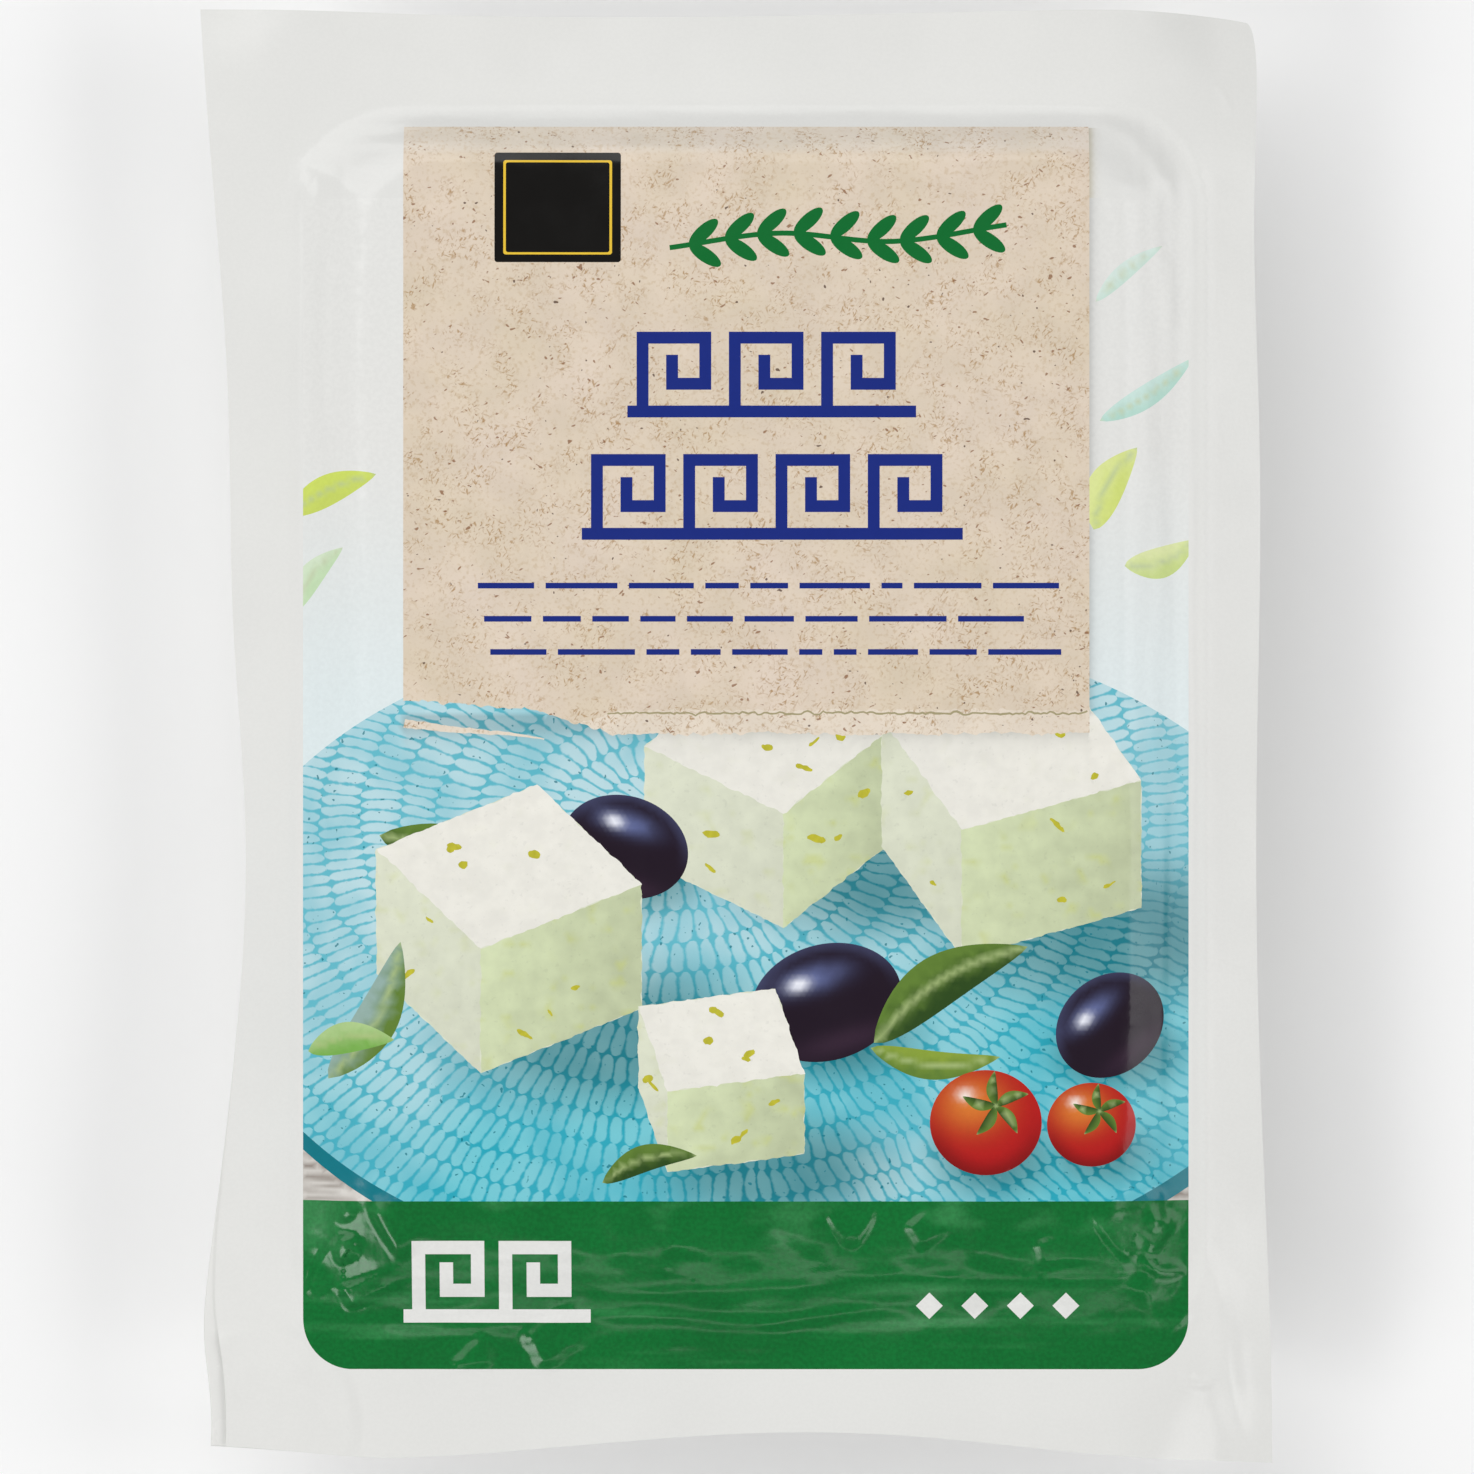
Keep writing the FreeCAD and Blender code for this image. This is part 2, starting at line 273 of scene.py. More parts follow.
# Folds of the loose film, as lines: points, half width, height, and shape. A ridge is 0. A facet that
# climbs towards the line's left is 1, and one that climbs towards its right is -1.
LEFT_FOOT_FOLDS = [
    ([(-42, -55), (-41.2, -52), (-39.8, -49.4), (-37.9, -48.1), (-36.4, -48.6), (-36, -50)],
     0.5, 0.42, -1),
    ([(-36.2, -49.4), (-37.6, -50.6), (-39.2, -50.9)], 0.6, 0.4, -1),
    ([(-38.9, -43.4), (-38.2, -45.2), (-37.4, -47.2)], 1.1, 0.4, 0),
    ([(-38.6, -52.8), (-38, -54.2), (-37.2, -55.8)], 0.8, 0.5, 1),
    ([(-35.9, -44.2), (-34.8, -46.8), (-33.3, -49.4), (-32.3, -51.2)], 0.7, 0.6, 1),
    ([(-40.8, -58.4), (-38.4, -57), (-34.8, -56.6), (-28, -56.9), (-14, -56.7)], 0.7, 0.12, 0),
    ([(-44.9, -62.4), (-42.2, -60.4), (-41, -56.8)], 1.2, 0.1, 0),
    ([(-31, -45), (-24, -47.2), (-18, -49.4), (-11, -50.4)], 1.4, 0.3, 1),
    ([(-14.6, -44.8), (-12.2, -48), (-12.6, -51.6)], 1.2, 0.26, 1),
]
FOOT_FOLDS = [
    ([(-25.4, -57.6), (-24, -59.2), (-23.6, -61.4)], 1, 0.4, -1),
    ([(-21.2, -57.4), (-20, -59.2), (-18.4, -61.8)], 0.9, 0.62, 1),
    ([(-16.4, -53.3), (-8, -53.8), (2.2, -53.4), (10.3, -52.7), (18.2, -51.2)], 0.7, 0.14, 0),
    ([(-18.4, -56.3), (-9, -56), (2.4, -56.7), (12.2, -55.5), (19, -55.7)], 0.7, 0.18, 0),
    ([(-18.5, -58.8), (-6, -58.7), (4, -59.1), (16, -58.2)], 0.7, 0.12, 0),
    ([(4, -52.4), (14, -52), (26, -52.5), (43.4, -52.1)], 0.5, 0.08, 0),
    ([(8.2, -45.2), (9.4, -47.6), (11, -49.8)], 0.45, 0.3, 1),
    ([(11, -49.8), (12.4, -48), (13.8, -45.2)], 0.45, 0.3, 1),
    ([(16, -46.8), (17, -48.2), (17.9, -49.8)], 0.6, 0.42, 1),
    ([(28.6, -48.4), (29.1, -50), (29.3, -51.6)], 0.7, 0.4, 1),
    ([(0.4, -45.4), (5.4, -48.4), (9.6, -50.6)], 1.2, 0.28, 1),
    ([(20.6, -45.2), (22.6, -48.2), (22.2, -51.4)], 1.3, 0.3, 1),
    ([(-8.6, -45), (-6.8, -47.4), (-7, -50.6)], 1.2, 0.26, 1),
]
RIGHT_FOOT_FOLDS = [
    ([(33.6, -44.8), (35.2, -48), (37.2, -50.2), (39.4, -50.6)], 0.6, 0.42, 1),
    ([(39.4, -50.6), (41.2, -48.8), (42.8, -46)], 0.6, 0.4, 1),
    ([(38.6, -49.6), (40.8, -51.6), (43.8, -51.6)], 0.7, 0.42, 0),
    ([(40.8, -43.4), (40.4, -45.8), (40.8, -48)], 0.9, 0.3, 0),
    ([(37.4, -52.6), (39.4, -54.8), (40.6, -58.4)], 0.9, 0.34, 1),
    ([(45, -48.6), (46.6, -54), (47.6, -62), (49.4, -69)], 1.5, 0.4, 0),
    ([(42.6, -61.2), (44.6, -62.6), (47, -62)], 0.7, 0.16, 0),
]
SIDE_FOLDS = [
    ([(40.6, 8), (40.9, -10), (40.5, -30), (40.8, -43)], 0.9, 0.16, 0),
    ([(38.4, 4), (38.2, -14), (38.5, -36)], 0.8, 0.09, 0),
    ([(43, 14), (43.3, -6), (42.9, -24), (43.4, -41)], 0.7, 0.07, 0),
    ([(-39.6, 26), (-39.9, 38), (-39.3, 51)], 0.9, 0.17, 0),
    ([(-37.2, 24), (-37, 37), (-37.5, 49)], 0.9, 0.11, 0),
    ([(-40.6, -8), (-40.2, -22), (-40.7, -38)], 0.9, 0.11, 0),
    ([(-30, 57.4), (-12, 57), (6, 57.3), (20, 57)], 0.8, 0.1, 0),
    ([(-22, 59.4), (-6, 59.1), (14, 59.5), (30, 58.8)], 0.8, 0.08, 0),
    ([(-14, 55.2), (0, 54.8), (16, 55.1)], 0.7, 0.06, 0),
]
CORNER_FOLDS = [
    ([(33.4, 59.9), (37.7, 58.3), (39.7, 56.2), (41.3, 54), (42.8, 50.6)], 1, 0.34, 0),
    ([(40, 49), (41.4, 45), (42, 38)], 0.9, 0.14, 0),
    ([(-42.4, 56), (-39.6, 54.6), (-36.4, 52.2)], 1, 0.18, 0),
    ([(-43, 50.6), (-41.2, 55.4), (-37.2, 59.4)], 0.9, 0.14, 0),
    ([(46.4, 63.4), (47.4, 61.8), (47.9, 60)], 0.4, 0.06, 0),
]
FACET_REACH = 5
FOLDS = LEFT_FOOT_FOLDS + FOOT_FOLDS + RIGHT_FOOT_FOLDS + SIDE_FOLDS + CORNER_FOLDS


def fold_height(x, y, points, half_width, height, shape):
    """The height that one fold adds. It runs out softly at both ends, and a facet also down its far side."""
    path = smooth_path(points, 0.8)
    reach = half_width * (3 if shape == 0 else 12)
    low, high = path.min(0) - reach, path.max(0) + reach
    near = (x > low[0]) & (x < high[0]) & (y > low[1]) & (y < high[1])
    added = np.zeros_like(x)
    if not near.any():
        return added
    px, py = x[near], y[near]
    best, side, along = np.full(px.shape, 1e9), np.zeros_like(px), np.zeros_like(px)
    travelled = 0.0
    for start, end in zip(path[:-1], path[1:]):
        run = end - start
        length = np.hypot(*run)
        share = np.clip(((px - start[0]) * run[0] + (py - start[1]) * run[1]) / length**2, 0, 1)
        away_x, away_y = px - start[0] - run[0] * share, py - start[1] - run[1] * share
        away = np.hypot(away_x, away_y)
        closer = away < best
        best = np.where(closer, away, best)
        side = np.where(closer, (run[0] * away_y - run[1] * away_x) / length, side)
        along = np.where(closer, travelled + share * length, along)
        travelled += length
    along = along / travelled
    taper = ramp(np.minimum(along, 1 - along), 0, 0.3)
    if shape == 0:
        profile = np.exp(-(best / (half_width * (0.6 + 0.4 * taper))) ** 2)
    else:
        climb = side * shape
        beyond = np.maximum(best - np.abs(climb), 0)
        profile = ramp(climb, -half_width, half_width)
        profile = profile * np.exp(-(np.maximum(climb, 0) / (FACET_REACH * half_width)) ** 2)
        profile = profile * np.exp(-(beyond / half_width) ** 2)
    added[near] = height * taper * profile
    return added


def wrinkle_height(x, y):
    """Fine relief of the loose film: listed folds, streaks on the foot slope and crumples at the corners."""
    share = block_share(x, y)
    slope = ramp(share, 0.02, 0.2) * (1 - ramp(share, 0.8, 1))
    foot = 1 - ramp(y, BLOCK_LOW[1] - 1, BLOCK_LOW[1] + 5)
    inside = ramp(-SEAL.distance(x, y), 0, 1.5)
    streaks = 0.05 * noise(x / 16 + 2.2, y / 2.1, 41) + 0.012 * noise(x / 8, y / 0.9, 42)
    mottle = 0.17 * noise(x / 5.2, y / 4.4, 43) + 0.02 * noise(x / 1.8, y / 1.7, 44)
    added = foot * inside * (slope * streaks + mottle)
    sides = slope * (1 - foot)
    vertical = ramp(np.abs(x - BLOCK.centre[0]), BLOCK.half[0] - 2, BLOCK.half[0])
    added += sides * vertical * 0.07 * noise(x / 1.3, y / 16, 45)
    added += sides * (1 - vertical) * 0.06 * noise(x / 16, y / 1.3, 46)
    corner = ramp(np.abs(x - BLOCK.centre[0]) - BLOCK.half[0], -8, 1)
    corner = corner * ramp(np.abs(y - BLOCK.centre[1]) - BLOCK.half[1], -8, 1) * inside
    crumple = np.abs(noise(x / 3.8, y / 4.1, 47)) + 0.35 * np.abs(noise(x / 1.7, y / 1.9, 48))
    added += corner * (0.15 * foot + 0.06 * (1 - foot)) * (0.35 - crumple)
    added += ramp(share, 0.95, 1) * 0.018 * noise(x / 2.2, y / 2.4, 49)
    for points, half_width, height, shape in FOLDS:
        added += fold_height(x, y, points, half_width, height, shape)
    return added + SEAL_LINE * np.exp(-(SEAL.distance(x, y) / SEAL_LINE_WIDTH) ** 2)


def film_height(x, y):
    """Height of the top film's outer face."""
    return SEAL_HEIGHT + TOP_FILM + soft_height(x, y) + wrinkle_height(x, y) + peel_lift(x, y)


# ---- the print: colours


def ink(red, green, blue):
    """A colour given as it looks on a screen, from 0 to 255, as linear numbers."""
    value = np.array([red, green, blue]) / 255
    return np.where(value < 0.04045, value / 12.92, ((value + 0.055) / 1.055) ** 2.4)


WHITE_FILM = ink(231, 231, 228)
GREEN = ink(6, 109, 46)
NAVY = ink(22, 42, 128)
BEIGE = ink(221, 206, 182)
TORN_BEIGE = ink(232, 219, 202)
CHARCOAL = ink(10, 8, 6)
YELLOW = ink(236, 196, 60)
CREAM_TOP = ink(241, 239, 230)
CREAM_LEFT = ink(226, 230, 208)
CREAM_RIGHT = ink(205, 215, 176)
PIT = ink(206, 200, 60)
CURD = ink(200, 208, 120)
PLATE_LIGHT = ink(182, 219, 227)
PLATE_MID = ink(80, 196, 210)
PLATE_DARK = ink(10, 128, 136)
PLATE_EDGE = ink(10, 120, 134)
WOOD_LIGHT = ink(214, 210, 204)
WOOD_DARK = ink(104, 86, 72)
EDGE_SHADOW = ink(198, 192, 176)
# Paler green of the painted sheen on the green band
SHEEN_GREEN = ink(70, 152, 92)
OLIVE_DARK = ink(30, 16, 32)
OLIVE_SKY = ink(112, 124, 178)
LEAF_DARK = ink(44, 74, 26)
LEAF_MID = ink(98, 130, 52)
LEAF_PALE = ink(176, 196, 132)
LIME = ink(196, 214, 40)
DARK_LEAF = (LEAF_DARK, LEAF_MID)
TOMATO = ink(206, 28, 30)
TOMATO_GLOW = ink(244, 158, 60)


def mix(first, second, share):
    """Between two colours, for each point."""
    share = np.asarray(share)[..., None]
    return first * (1 - share) + second * share


def even(colour):
    """A field of one colour."""
    return lambda x, y: np.tile(colour, (len(x), 1))


def blotchy(colour, other, size, seed, reach=0.5):
    """A field that drifts between two colours."""
    def field(x, y):
        return mix(colour, other, np.clip(0.5 + reach * layered_noise(x / size, y / size, seed), 0, 1))
    return field


# ---- the print: layout

BAND_LEFT, BAND_RIGHT, BAND_FOOT, BAND_HEAD = -42.0, 43.7, -61.2, -44.8
BAND_CORNER = 4.9
PANEL_LEFT, PANEL_RIGHT, PANEL_HEAD, PANEL_FOOT = -32.2, 34.0, 59.0, 2.2
PANEL_SHADE = 0.3
PICTURE_HEAD = 52.0
PLATE_CENTRE = np.array([3.0, -20.5])
PLATE_HALF = np.array([54.0, 32.0])
LINE_STEP = 0.5

shapes = []      # the print's regions, painted in this order
shadows = []     # soft shadows on the plate: centre, half sizes, strength


def paint(outline, material, colour, framed=True):
    """Adds a region. A framed one shows only inside the picture."""
    shapes.append((dense(outline, LINE_STEP), material, colour, framed))


def stroke(path, width, material, colour, framed=False):
    """Adds a line of that width along a path."""
    path = np.array(path, float)
    run = np.gradient(path, axis=0)
    side = np.stack([-run[:, 1], run[:, 0]], 1) / np.maximum(np.hypot(run[:, 0], run[:, 1]), 1e-9)[:, None]
    width = np.broadcast_to(np.asarray(width, float), len(path))[:, None]
    paint(np.vstack([path + side * width / 2, (path - side * width / 2)[::-1]]), material, colour, framed)


def box_outline(left, foot, right, head):
    return np.array([(left, foot), (right, foot), (right, head), (left, head)])


def ellipse_outline(centre, half, turn=0.0, count=64, from_angle=0.0, to_angle=2 * math.pi):
    angles = np.linspace(from_angle, to_angle, count, endpoint=False)
    local = np.stack([half[0] * np.cos(angles), half[1] * np.sin(angles)], 1)
    cosine, sine = math.cos(turn), math.sin(turn)
    return local @ np.array([[cosine, sine], [-sine, cosine]]) + centre


def rounded_corner(centre, radius, count, quarter):
    """A quarter of a circle. Quarter 0 is the one at the head and right, and they run anticlockwise."""
    start = quarter * math.pi / 2
    return ellipse_outline(centre, (radius, radius), 0, count, start, start + math.pi / 2)


def rough(outline, reach, seed, size=1.1):
    """The same outline with a broken, crumbly edge."""
    outline = dense(outline, 0.35)
    following = np.roll(outline, -1, 0) - np.roll(outline, 1, 0)
    side = np.stack([following[:, 1], -following[:, 0]], 1) / np.maximum(
        np.hypot(following[:, 0], following[:, 1]), 1e-9)[:, None]
    shift = layered_noise(outline[:, 0] / size, outline[:, 1] / size, seed)
    return outline + side * (reach * shift)[:, None]


def local_coordinates(x, y, centre, half, turn):
    """Coordinates in a turned ellipse, where 1 is its edge."""
    cosine, sine = math.cos(turn), math.sin(turn)
    dx, dy = x - centre[0], y - centre[1]
    return (dx * cosine + dy * sine) / half[0], (dy * cosine - dx * sine) / half[1]


def glow(u, v, at_u, at_v, wide, high):
    """A soft spot of light."""
    return np.exp(-((u - at_u) / wide) ** 2 - ((v - at_v) / high) ** 2)


def table_colour(x, y):
    """The pale table behind the plate: wood at the foot, fading into white towards the head."""
    grain = layered_noise(x / 9 + y / 30, y / 0.55, 61)
    wood = mix(WOOD_LIGHT, WOOD_DARK, np.clip(0.25 + 0.6 * grain, 0, 1))
    haze = mix(ink(226, 238, 240), WHITE_FILM, ramp(y, -6, 30))
    return mix(wood, haze, ramp(y, -40, -20))


def plate_colour(x, y):
    """Turquoise glaze, deeper towards the foot, with the soft shadows of what lies on it."""
    drift = layered_noise(x / 14, y / 10, 62, 2)
    deep = np.clip(ramp(0.25 * x - y, 14, 40) + 0.25 * drift - 0.85 * glow(x, y, 12, -42, 11, 5), 0, 1)
    colour = mix(PLATE_LIGHT, PLATE_MID, deep)
    dark = np.zeros_like(x)
    for centre, half, strength in shadows:
        reach = np.hypot((x - centre[0]) / half[0], (y - centre[1]) / half[1])
        dark = np.maximum(dark, strength * (1 - ramp(reach, 0.35, 1.25)))
    colour = mix(colour, PLATE_DARK, dark)
    return mix(colour, WHITE_FILM, ramp(y, 4, 17))


def panel_shade(x, y):
    """How much light the raised paper panel leaves on the picture beside it."""
    right_of_panel = (x > PANEL_RIGHT - 0.01) * (y < PANEL_HEAD) * (y > PANEL_FOOT)
    below_panel = (y < PANEL_FOOT) * (x > PANEL_LEFT) * (x < PANEL_RIGHT)
    beside = np.exp(-np.maximum(x - PANEL_RIGHT, 0) / 0.45) * right_of_panel
    below = np.exp(-np.maximum(PANEL_FOOT - 1.5 - y, 0) / 0.9) * below_panel
    return 1 - PANEL_SHADE * np.maximum(beside, below)


def by_panel(field):
    """The same field, in the shade of the paper panel where it is near."""
    return lambda x, y: field(x, y) * panel_shade(x, y)[:, None]


def make_cheese(centre, size, turn, seed, height=0.9):
    """A cube of cheese on the plate, drawn from above and in front, with crumbly edges and small pits."""
    flat = 0.62
    angle = math.radians(turn)
    along = np.array([math.cos(angle), math.sin(angle) * flat]) * size
    across = np.array([-math.sin(angle), math.cos(angle) * flat]) * size
    up = np.array([0, size * height * 0.72])
    base = np.array(centre) - (along + across) / 2
    near_left, near, near_right, far = base + across, base, base + along, base + along + across
    shadows.append((base + along * 0.75 - across * 0.12, (size * 0.95, size * 0.42), 0.85))

    def shaded(colour, other, start, end, stain):
        def field(x, y):
            run = end - start
            share = ((x - start[0]) * run[0] + (y - start[1]) * run[1]) / np.sum(run**2)
            grain = 0.3 * layered_noise(x / 2.5, y / 2.5, seed)
            curd = 0.5 * stain * ramp(layered_noise(x / 2.1, y / 1.6, seed + 9), 0.35, 0.9)
            return mix(mix(colour, other, np.clip(share + grain, 0, 1)), CURD, curd)
        return by_panel(field)

    whole = [near_left, near, near_right, near_right + up, far + up, near_left + up]
    paint(rough(whole, 0.1, seed + 4), "cheese", even(CREAM_LEFT * 0.97))
    faces = [
        ([near_left, near, near + up, near_left + up], 0.14,
         shaded(CREAM_LEFT, CREAM_LEFT * 0.88, near_left + up, near, 0.5)),
        ([near, near_right, near_right + up, near + up], 0.14,
         shaded(CREAM_RIGHT * 1.12, CREAM_RIGHT * 0.84, near + up, near_right, 1.0)),
        ([near_left + up, near + up, near_right + up, far + up], 0.16,
         shaded(CREAM_TOP * 0.96, CREAM_TOP, near + up, far + up, 0.08)),
    ]
    for index, (face, crumble, field) in enumerate(faces):
        paint(rough(face, crumble, seed + index), "cheese", field)
    chance = np.random.default_rng(seed)
    for face_origin, face_x, face_y, pits in ((near_left + up, -across, along, 4), (near, along, up, 3),
                                              (near_left, -across, up, 2)):
        for _ in range(pits):
            place = face_origin + face_x * chance.uniform(0.12, 0.88) + face_y * chance.uniform(0.15, 0.85)
            half = np.array([chance.uniform(0.35, 0.95), chance.uniform(0.16, 0.4)])
            paint(rough(ellipse_outline(place, half, chance.uniform(-0.9, 0.9), 14), 0.14, seed + 3, 0.6),
                  "cheese", blotchy(PIT, PIT * 0.72, 0.6, seed))


def make_olive(centre, half, turn, seed):
    """A dark olive with a sky highlight."""
    angle = math.radians(turn)
    centre = np.array(centre, float)
    shadows.append((centre + (half[0] * 0.12, -half[1] * 0.55), (half[0] * 1.25, half[1] * 0.9), 0.9))

    def field(x, y):
        u, v = local_coordinates(x, y, centre, half, angle)
        out = np.hypot(u, v)
        sky = glow(u, v, -0.12, 0.46, 0.42, 0.2)
        edge = 0.6 * ramp(out, 0.8, 1.0) * ramp(v, -0.2, 0.7)
        bounce = glow(u, v, 0.1, -0.72, 0.7, 0.2)
        spot = glow(u, v, -0.28, 0.42, 0.13, 0.1)
        mottle = 0.25 * layered_noise(x / 1.6, y / 1.6, seed)
        colour = mix(OLIVE_DARK, OLIVE_SKY, np.clip(0.75 * sky * (1 + mottle) + 0.35 * edge, 0, 1))
        colour = colour + bounce[:, None] * ink(70, 48, 66) * 0.35
        return mix(colour, ink(238, 240, 250), np.clip(spot * 1.2, 0, 1))

    paint(ellipse_outline(centre, half, angle, 72), "ink", by_panel(field))


def make_leaf(base, length, width, turn, tone, seed, bend=0.12, soft=0.0):
    """An olive leaf: a slim blade with a pale midrib, darker on one side."""
    angle = math.radians(turn)
    base = np.array(base, float)
    forward = np.array([math.cos(angle), math.sin(angle)])
    sideways = np.array([-forward[1], forward[0]])
    along = np.linspace(0, 1, 22)
    half = width / 2 * np.sin(math.pi * along**0.85) ** 0.8
    curve = bend * length * np.sin(math.pi * along)
    spine = base + forward * (length * along)[:, None] + sideways * curve[:, None]
    upper = spine + sideways * half[:, None]
    lower = spine - sideways * half[:, None]
    dark, pale = tone

    def field(x, y):
        dx, dy = x - base[0], y - base[1]
        reach = np.clip((dx * forward[0] + dy * forward[1]) / length, 0, 1)
        off = dx * sideways[0] + dy * sideways[1] - bend * length * np.sin(math.pi * reach)
        mottle = 0.3 * layered_noise(x / 1.1, y / 1.1, seed)
        side = np.clip(0.5 + off / width * 1.6 + mottle, 0, 1)
        rib = np.exp(-((off / (0.05 * width + 0.06)) ** 2))
        return mix(mix(mix(dark, pale, side), LEAF_PALE, 0.75 * rib), WHITE_FILM, soft)

    paint(np.vstack([upper, lower[1:-1][::-1]]), "ink", field)


def make_tomato(centre, radius, seed):
    """A small tomato with a glow on its lit side and a green star of a stalk."""
    centre = np.array(centre, float)
    shadows.append((centre + (radius * 0.15, -radius * 0.6), (radius * 1.3, radius * 0.85), 0.85))

    def field(x, y):
        u, v = local_coordinates(x, y, centre, (radius, radius), 0)
        out = np.hypot(u, v)
        lit = glow(u, v, -0.25, 0.35, 0.55, 0.45)
        spot = glow(u, v, -0.36, 0.5, 0.14, 0.1)
        colour = mix(TOMATO * 0.75, TOMATO_GLOW, np.clip(0.6 * lit, 0, 1))
        colour = colour * (1 - 0.55 * ramp(out, 0.55, 1.0) * ramp(-v, -0.3, 0.8))[:, None]
        return mix(colour, ink(255, 244, 236), np.clip(spot, 0, 1))

    paint(ellipse_outline(centre, (radius, radius * 0.94), 0, 64), "ink", field)
    heart = centre + (radius * 0.18, radius * 0.3)
    for turn in range(20, 380, 72):
        make_leaf(heart, radius * 0.62, radius * 0.2, turn, DARK_LEAF, seed + turn, 0.1)


def make_key_band(left, foot, unit, count, line, colour):
    """A running band of square hooks on a base line, the old Greek border."""
    grid = unit / 5
    for index in range(count):
        start = left + unit * index
        bars = [(0, 0, 5, 0), (0.5, 0, 0.5, 4), (0.5, 4, 3.9, 4), (3.9, 4, 3.9, 1.5), (3.9, 1.5, 2.1, 1.5),
                (2.1, 1.5, 2.1, 2.75)]
        for x0, y0, x1, y1 in bars:
            low_x, high_x = sorted((start + x0 * grid, start + x1 * grid))
            low_y, high_y = sorted((foot + y0 * grid, foot + y1 * grid))
            paint(box_outline(low_x - line / 2, low_y - line / 2, high_x + line / 2, high_y + line / 2),
                  "ink", even(colour), False)


def make_picture():
    """The food: a turquoise plate on a pale table, with cubes of cheese, olives, tomatoes and leaves."""
    picture = box_outline(BAND_LEFT, BAND_HEAD, BAND_RIGHT, PICTURE_HEAD)
    paint(picture, "ink", by_panel(table_colour))
    make_leaf((-43.5, 21.5), 9.5, 3, 24, (LIME, LIME * 1.1), 71, 0.06, 0.15)
    make_leaf((-43, 12), 8, 2.4, 52, (ink(176, 220, 150), ink(206, 232, 190)), 72, 0.1, 0.35)
    make_leaf((35, 30.5), 11, 2.2, 34, (ink(150, 214, 196), ink(190, 230, 220)), 73, -0.05, 0.3)
    make_leaf((34.4, 20), 9, 3.6, 62, (ink(206, 222, 70), ink(222, 234, 130)), 74, 0.1, 0.2)
    make_leaf((37.4, 16.5), 7.5, 3, 20, (ink(190, 214, 80), ink(222, 234, 150)), 75, -0.12, 0.2)
    make_leaf((34.6, 42), 8.5, 1.6, 40, (ink(176, 224, 206), ink(206, 236, 226)), 76, 0.05, 0.45)
    paint(ellipse_outline(PLATE_CENTRE + (0.2, -1.5), PLATE_HALF + (0.4, 0.2), 0, 260), "ink",
          lambda x, y: mix(PLATE_EDGE, WHITE_FILM, ramp(y, 0, 15)))
    paint(ellipse_outline(PLATE_CENTRE, PLATE_HALF, 0, 260), "glaze", by_panel(plate_colour))
    make_leaf((-34.5, -9.5), 17, 4.6, -24, DARK_LEAF, 81, 0.1)
    make_cheese((3, -11), 17, 52, 101)
    make_olive((-10.8, -10.6), (6.2, 4.9), -18, 111)
    make_cheese((26.5, -13.5), 19, 24, 102)
    make_cheese((-22, -24.5), 18.5, 33, 103)
    make_olive((8.6, -25.6), (7.4, 5.6), 16, 112)
    make_leaf((13.2, -29.5), 17.5, 5, 32, DARK_LEAF, 82, 0.1)
    make_leaf((12.9, -30), 12.5, 2.8, -4, (LEAF_MID, ink(140, 164, 60)), 83, -0.1)
    make_cheese((-1.5, -37), 13.5, 12, 104, 0.8)
    make_olive((36, -27.8), (5.6, 4.7), 40, 113)
    make_tomato((24, -37.2), 5.4, 121)
    make_tomato((34.2, -37.4), 4.3, 122)
    make_leaf((-39.5, -33), 15, 4.2, 62, (LEAF_MID, ink(150, 178, 170)), 84, -0.1)
    make_leaf((-13, -43), 9.5, 2.6, 16, DARK_LEAF, 85, 0.12)
    make_leaf((-41.5, -30.4), 8.5, 3, 8, (ink(120, 176, 78), ink(176, 206, 140)), 86, 0.1)


def torn_edge(left, right, height, reach, seed):
    """A ragged line from left to right."""
    x = np.arange(left, right, 0.3)
    shift = reach * layered_noise(x / 7, x * 0, seed) + 0.28 * layered_noise(x / 0.9, x * 0 + 3, seed + 1)
    return np.stack([x, height + shift], 1)


def torn_sheet(edge, left, right, head, colour):
    """A sheet of paper with a ragged foot."""
    edge = edge[(edge[:, 0] >= left) & (edge[:, 0] <= right)]
    sheet = np.vstack([[(left, edge[0, 1])], edge, [(right, edge[-1, 1]), (right, head), (left, head)]])
    paint(sheet, "paper", colour, False)


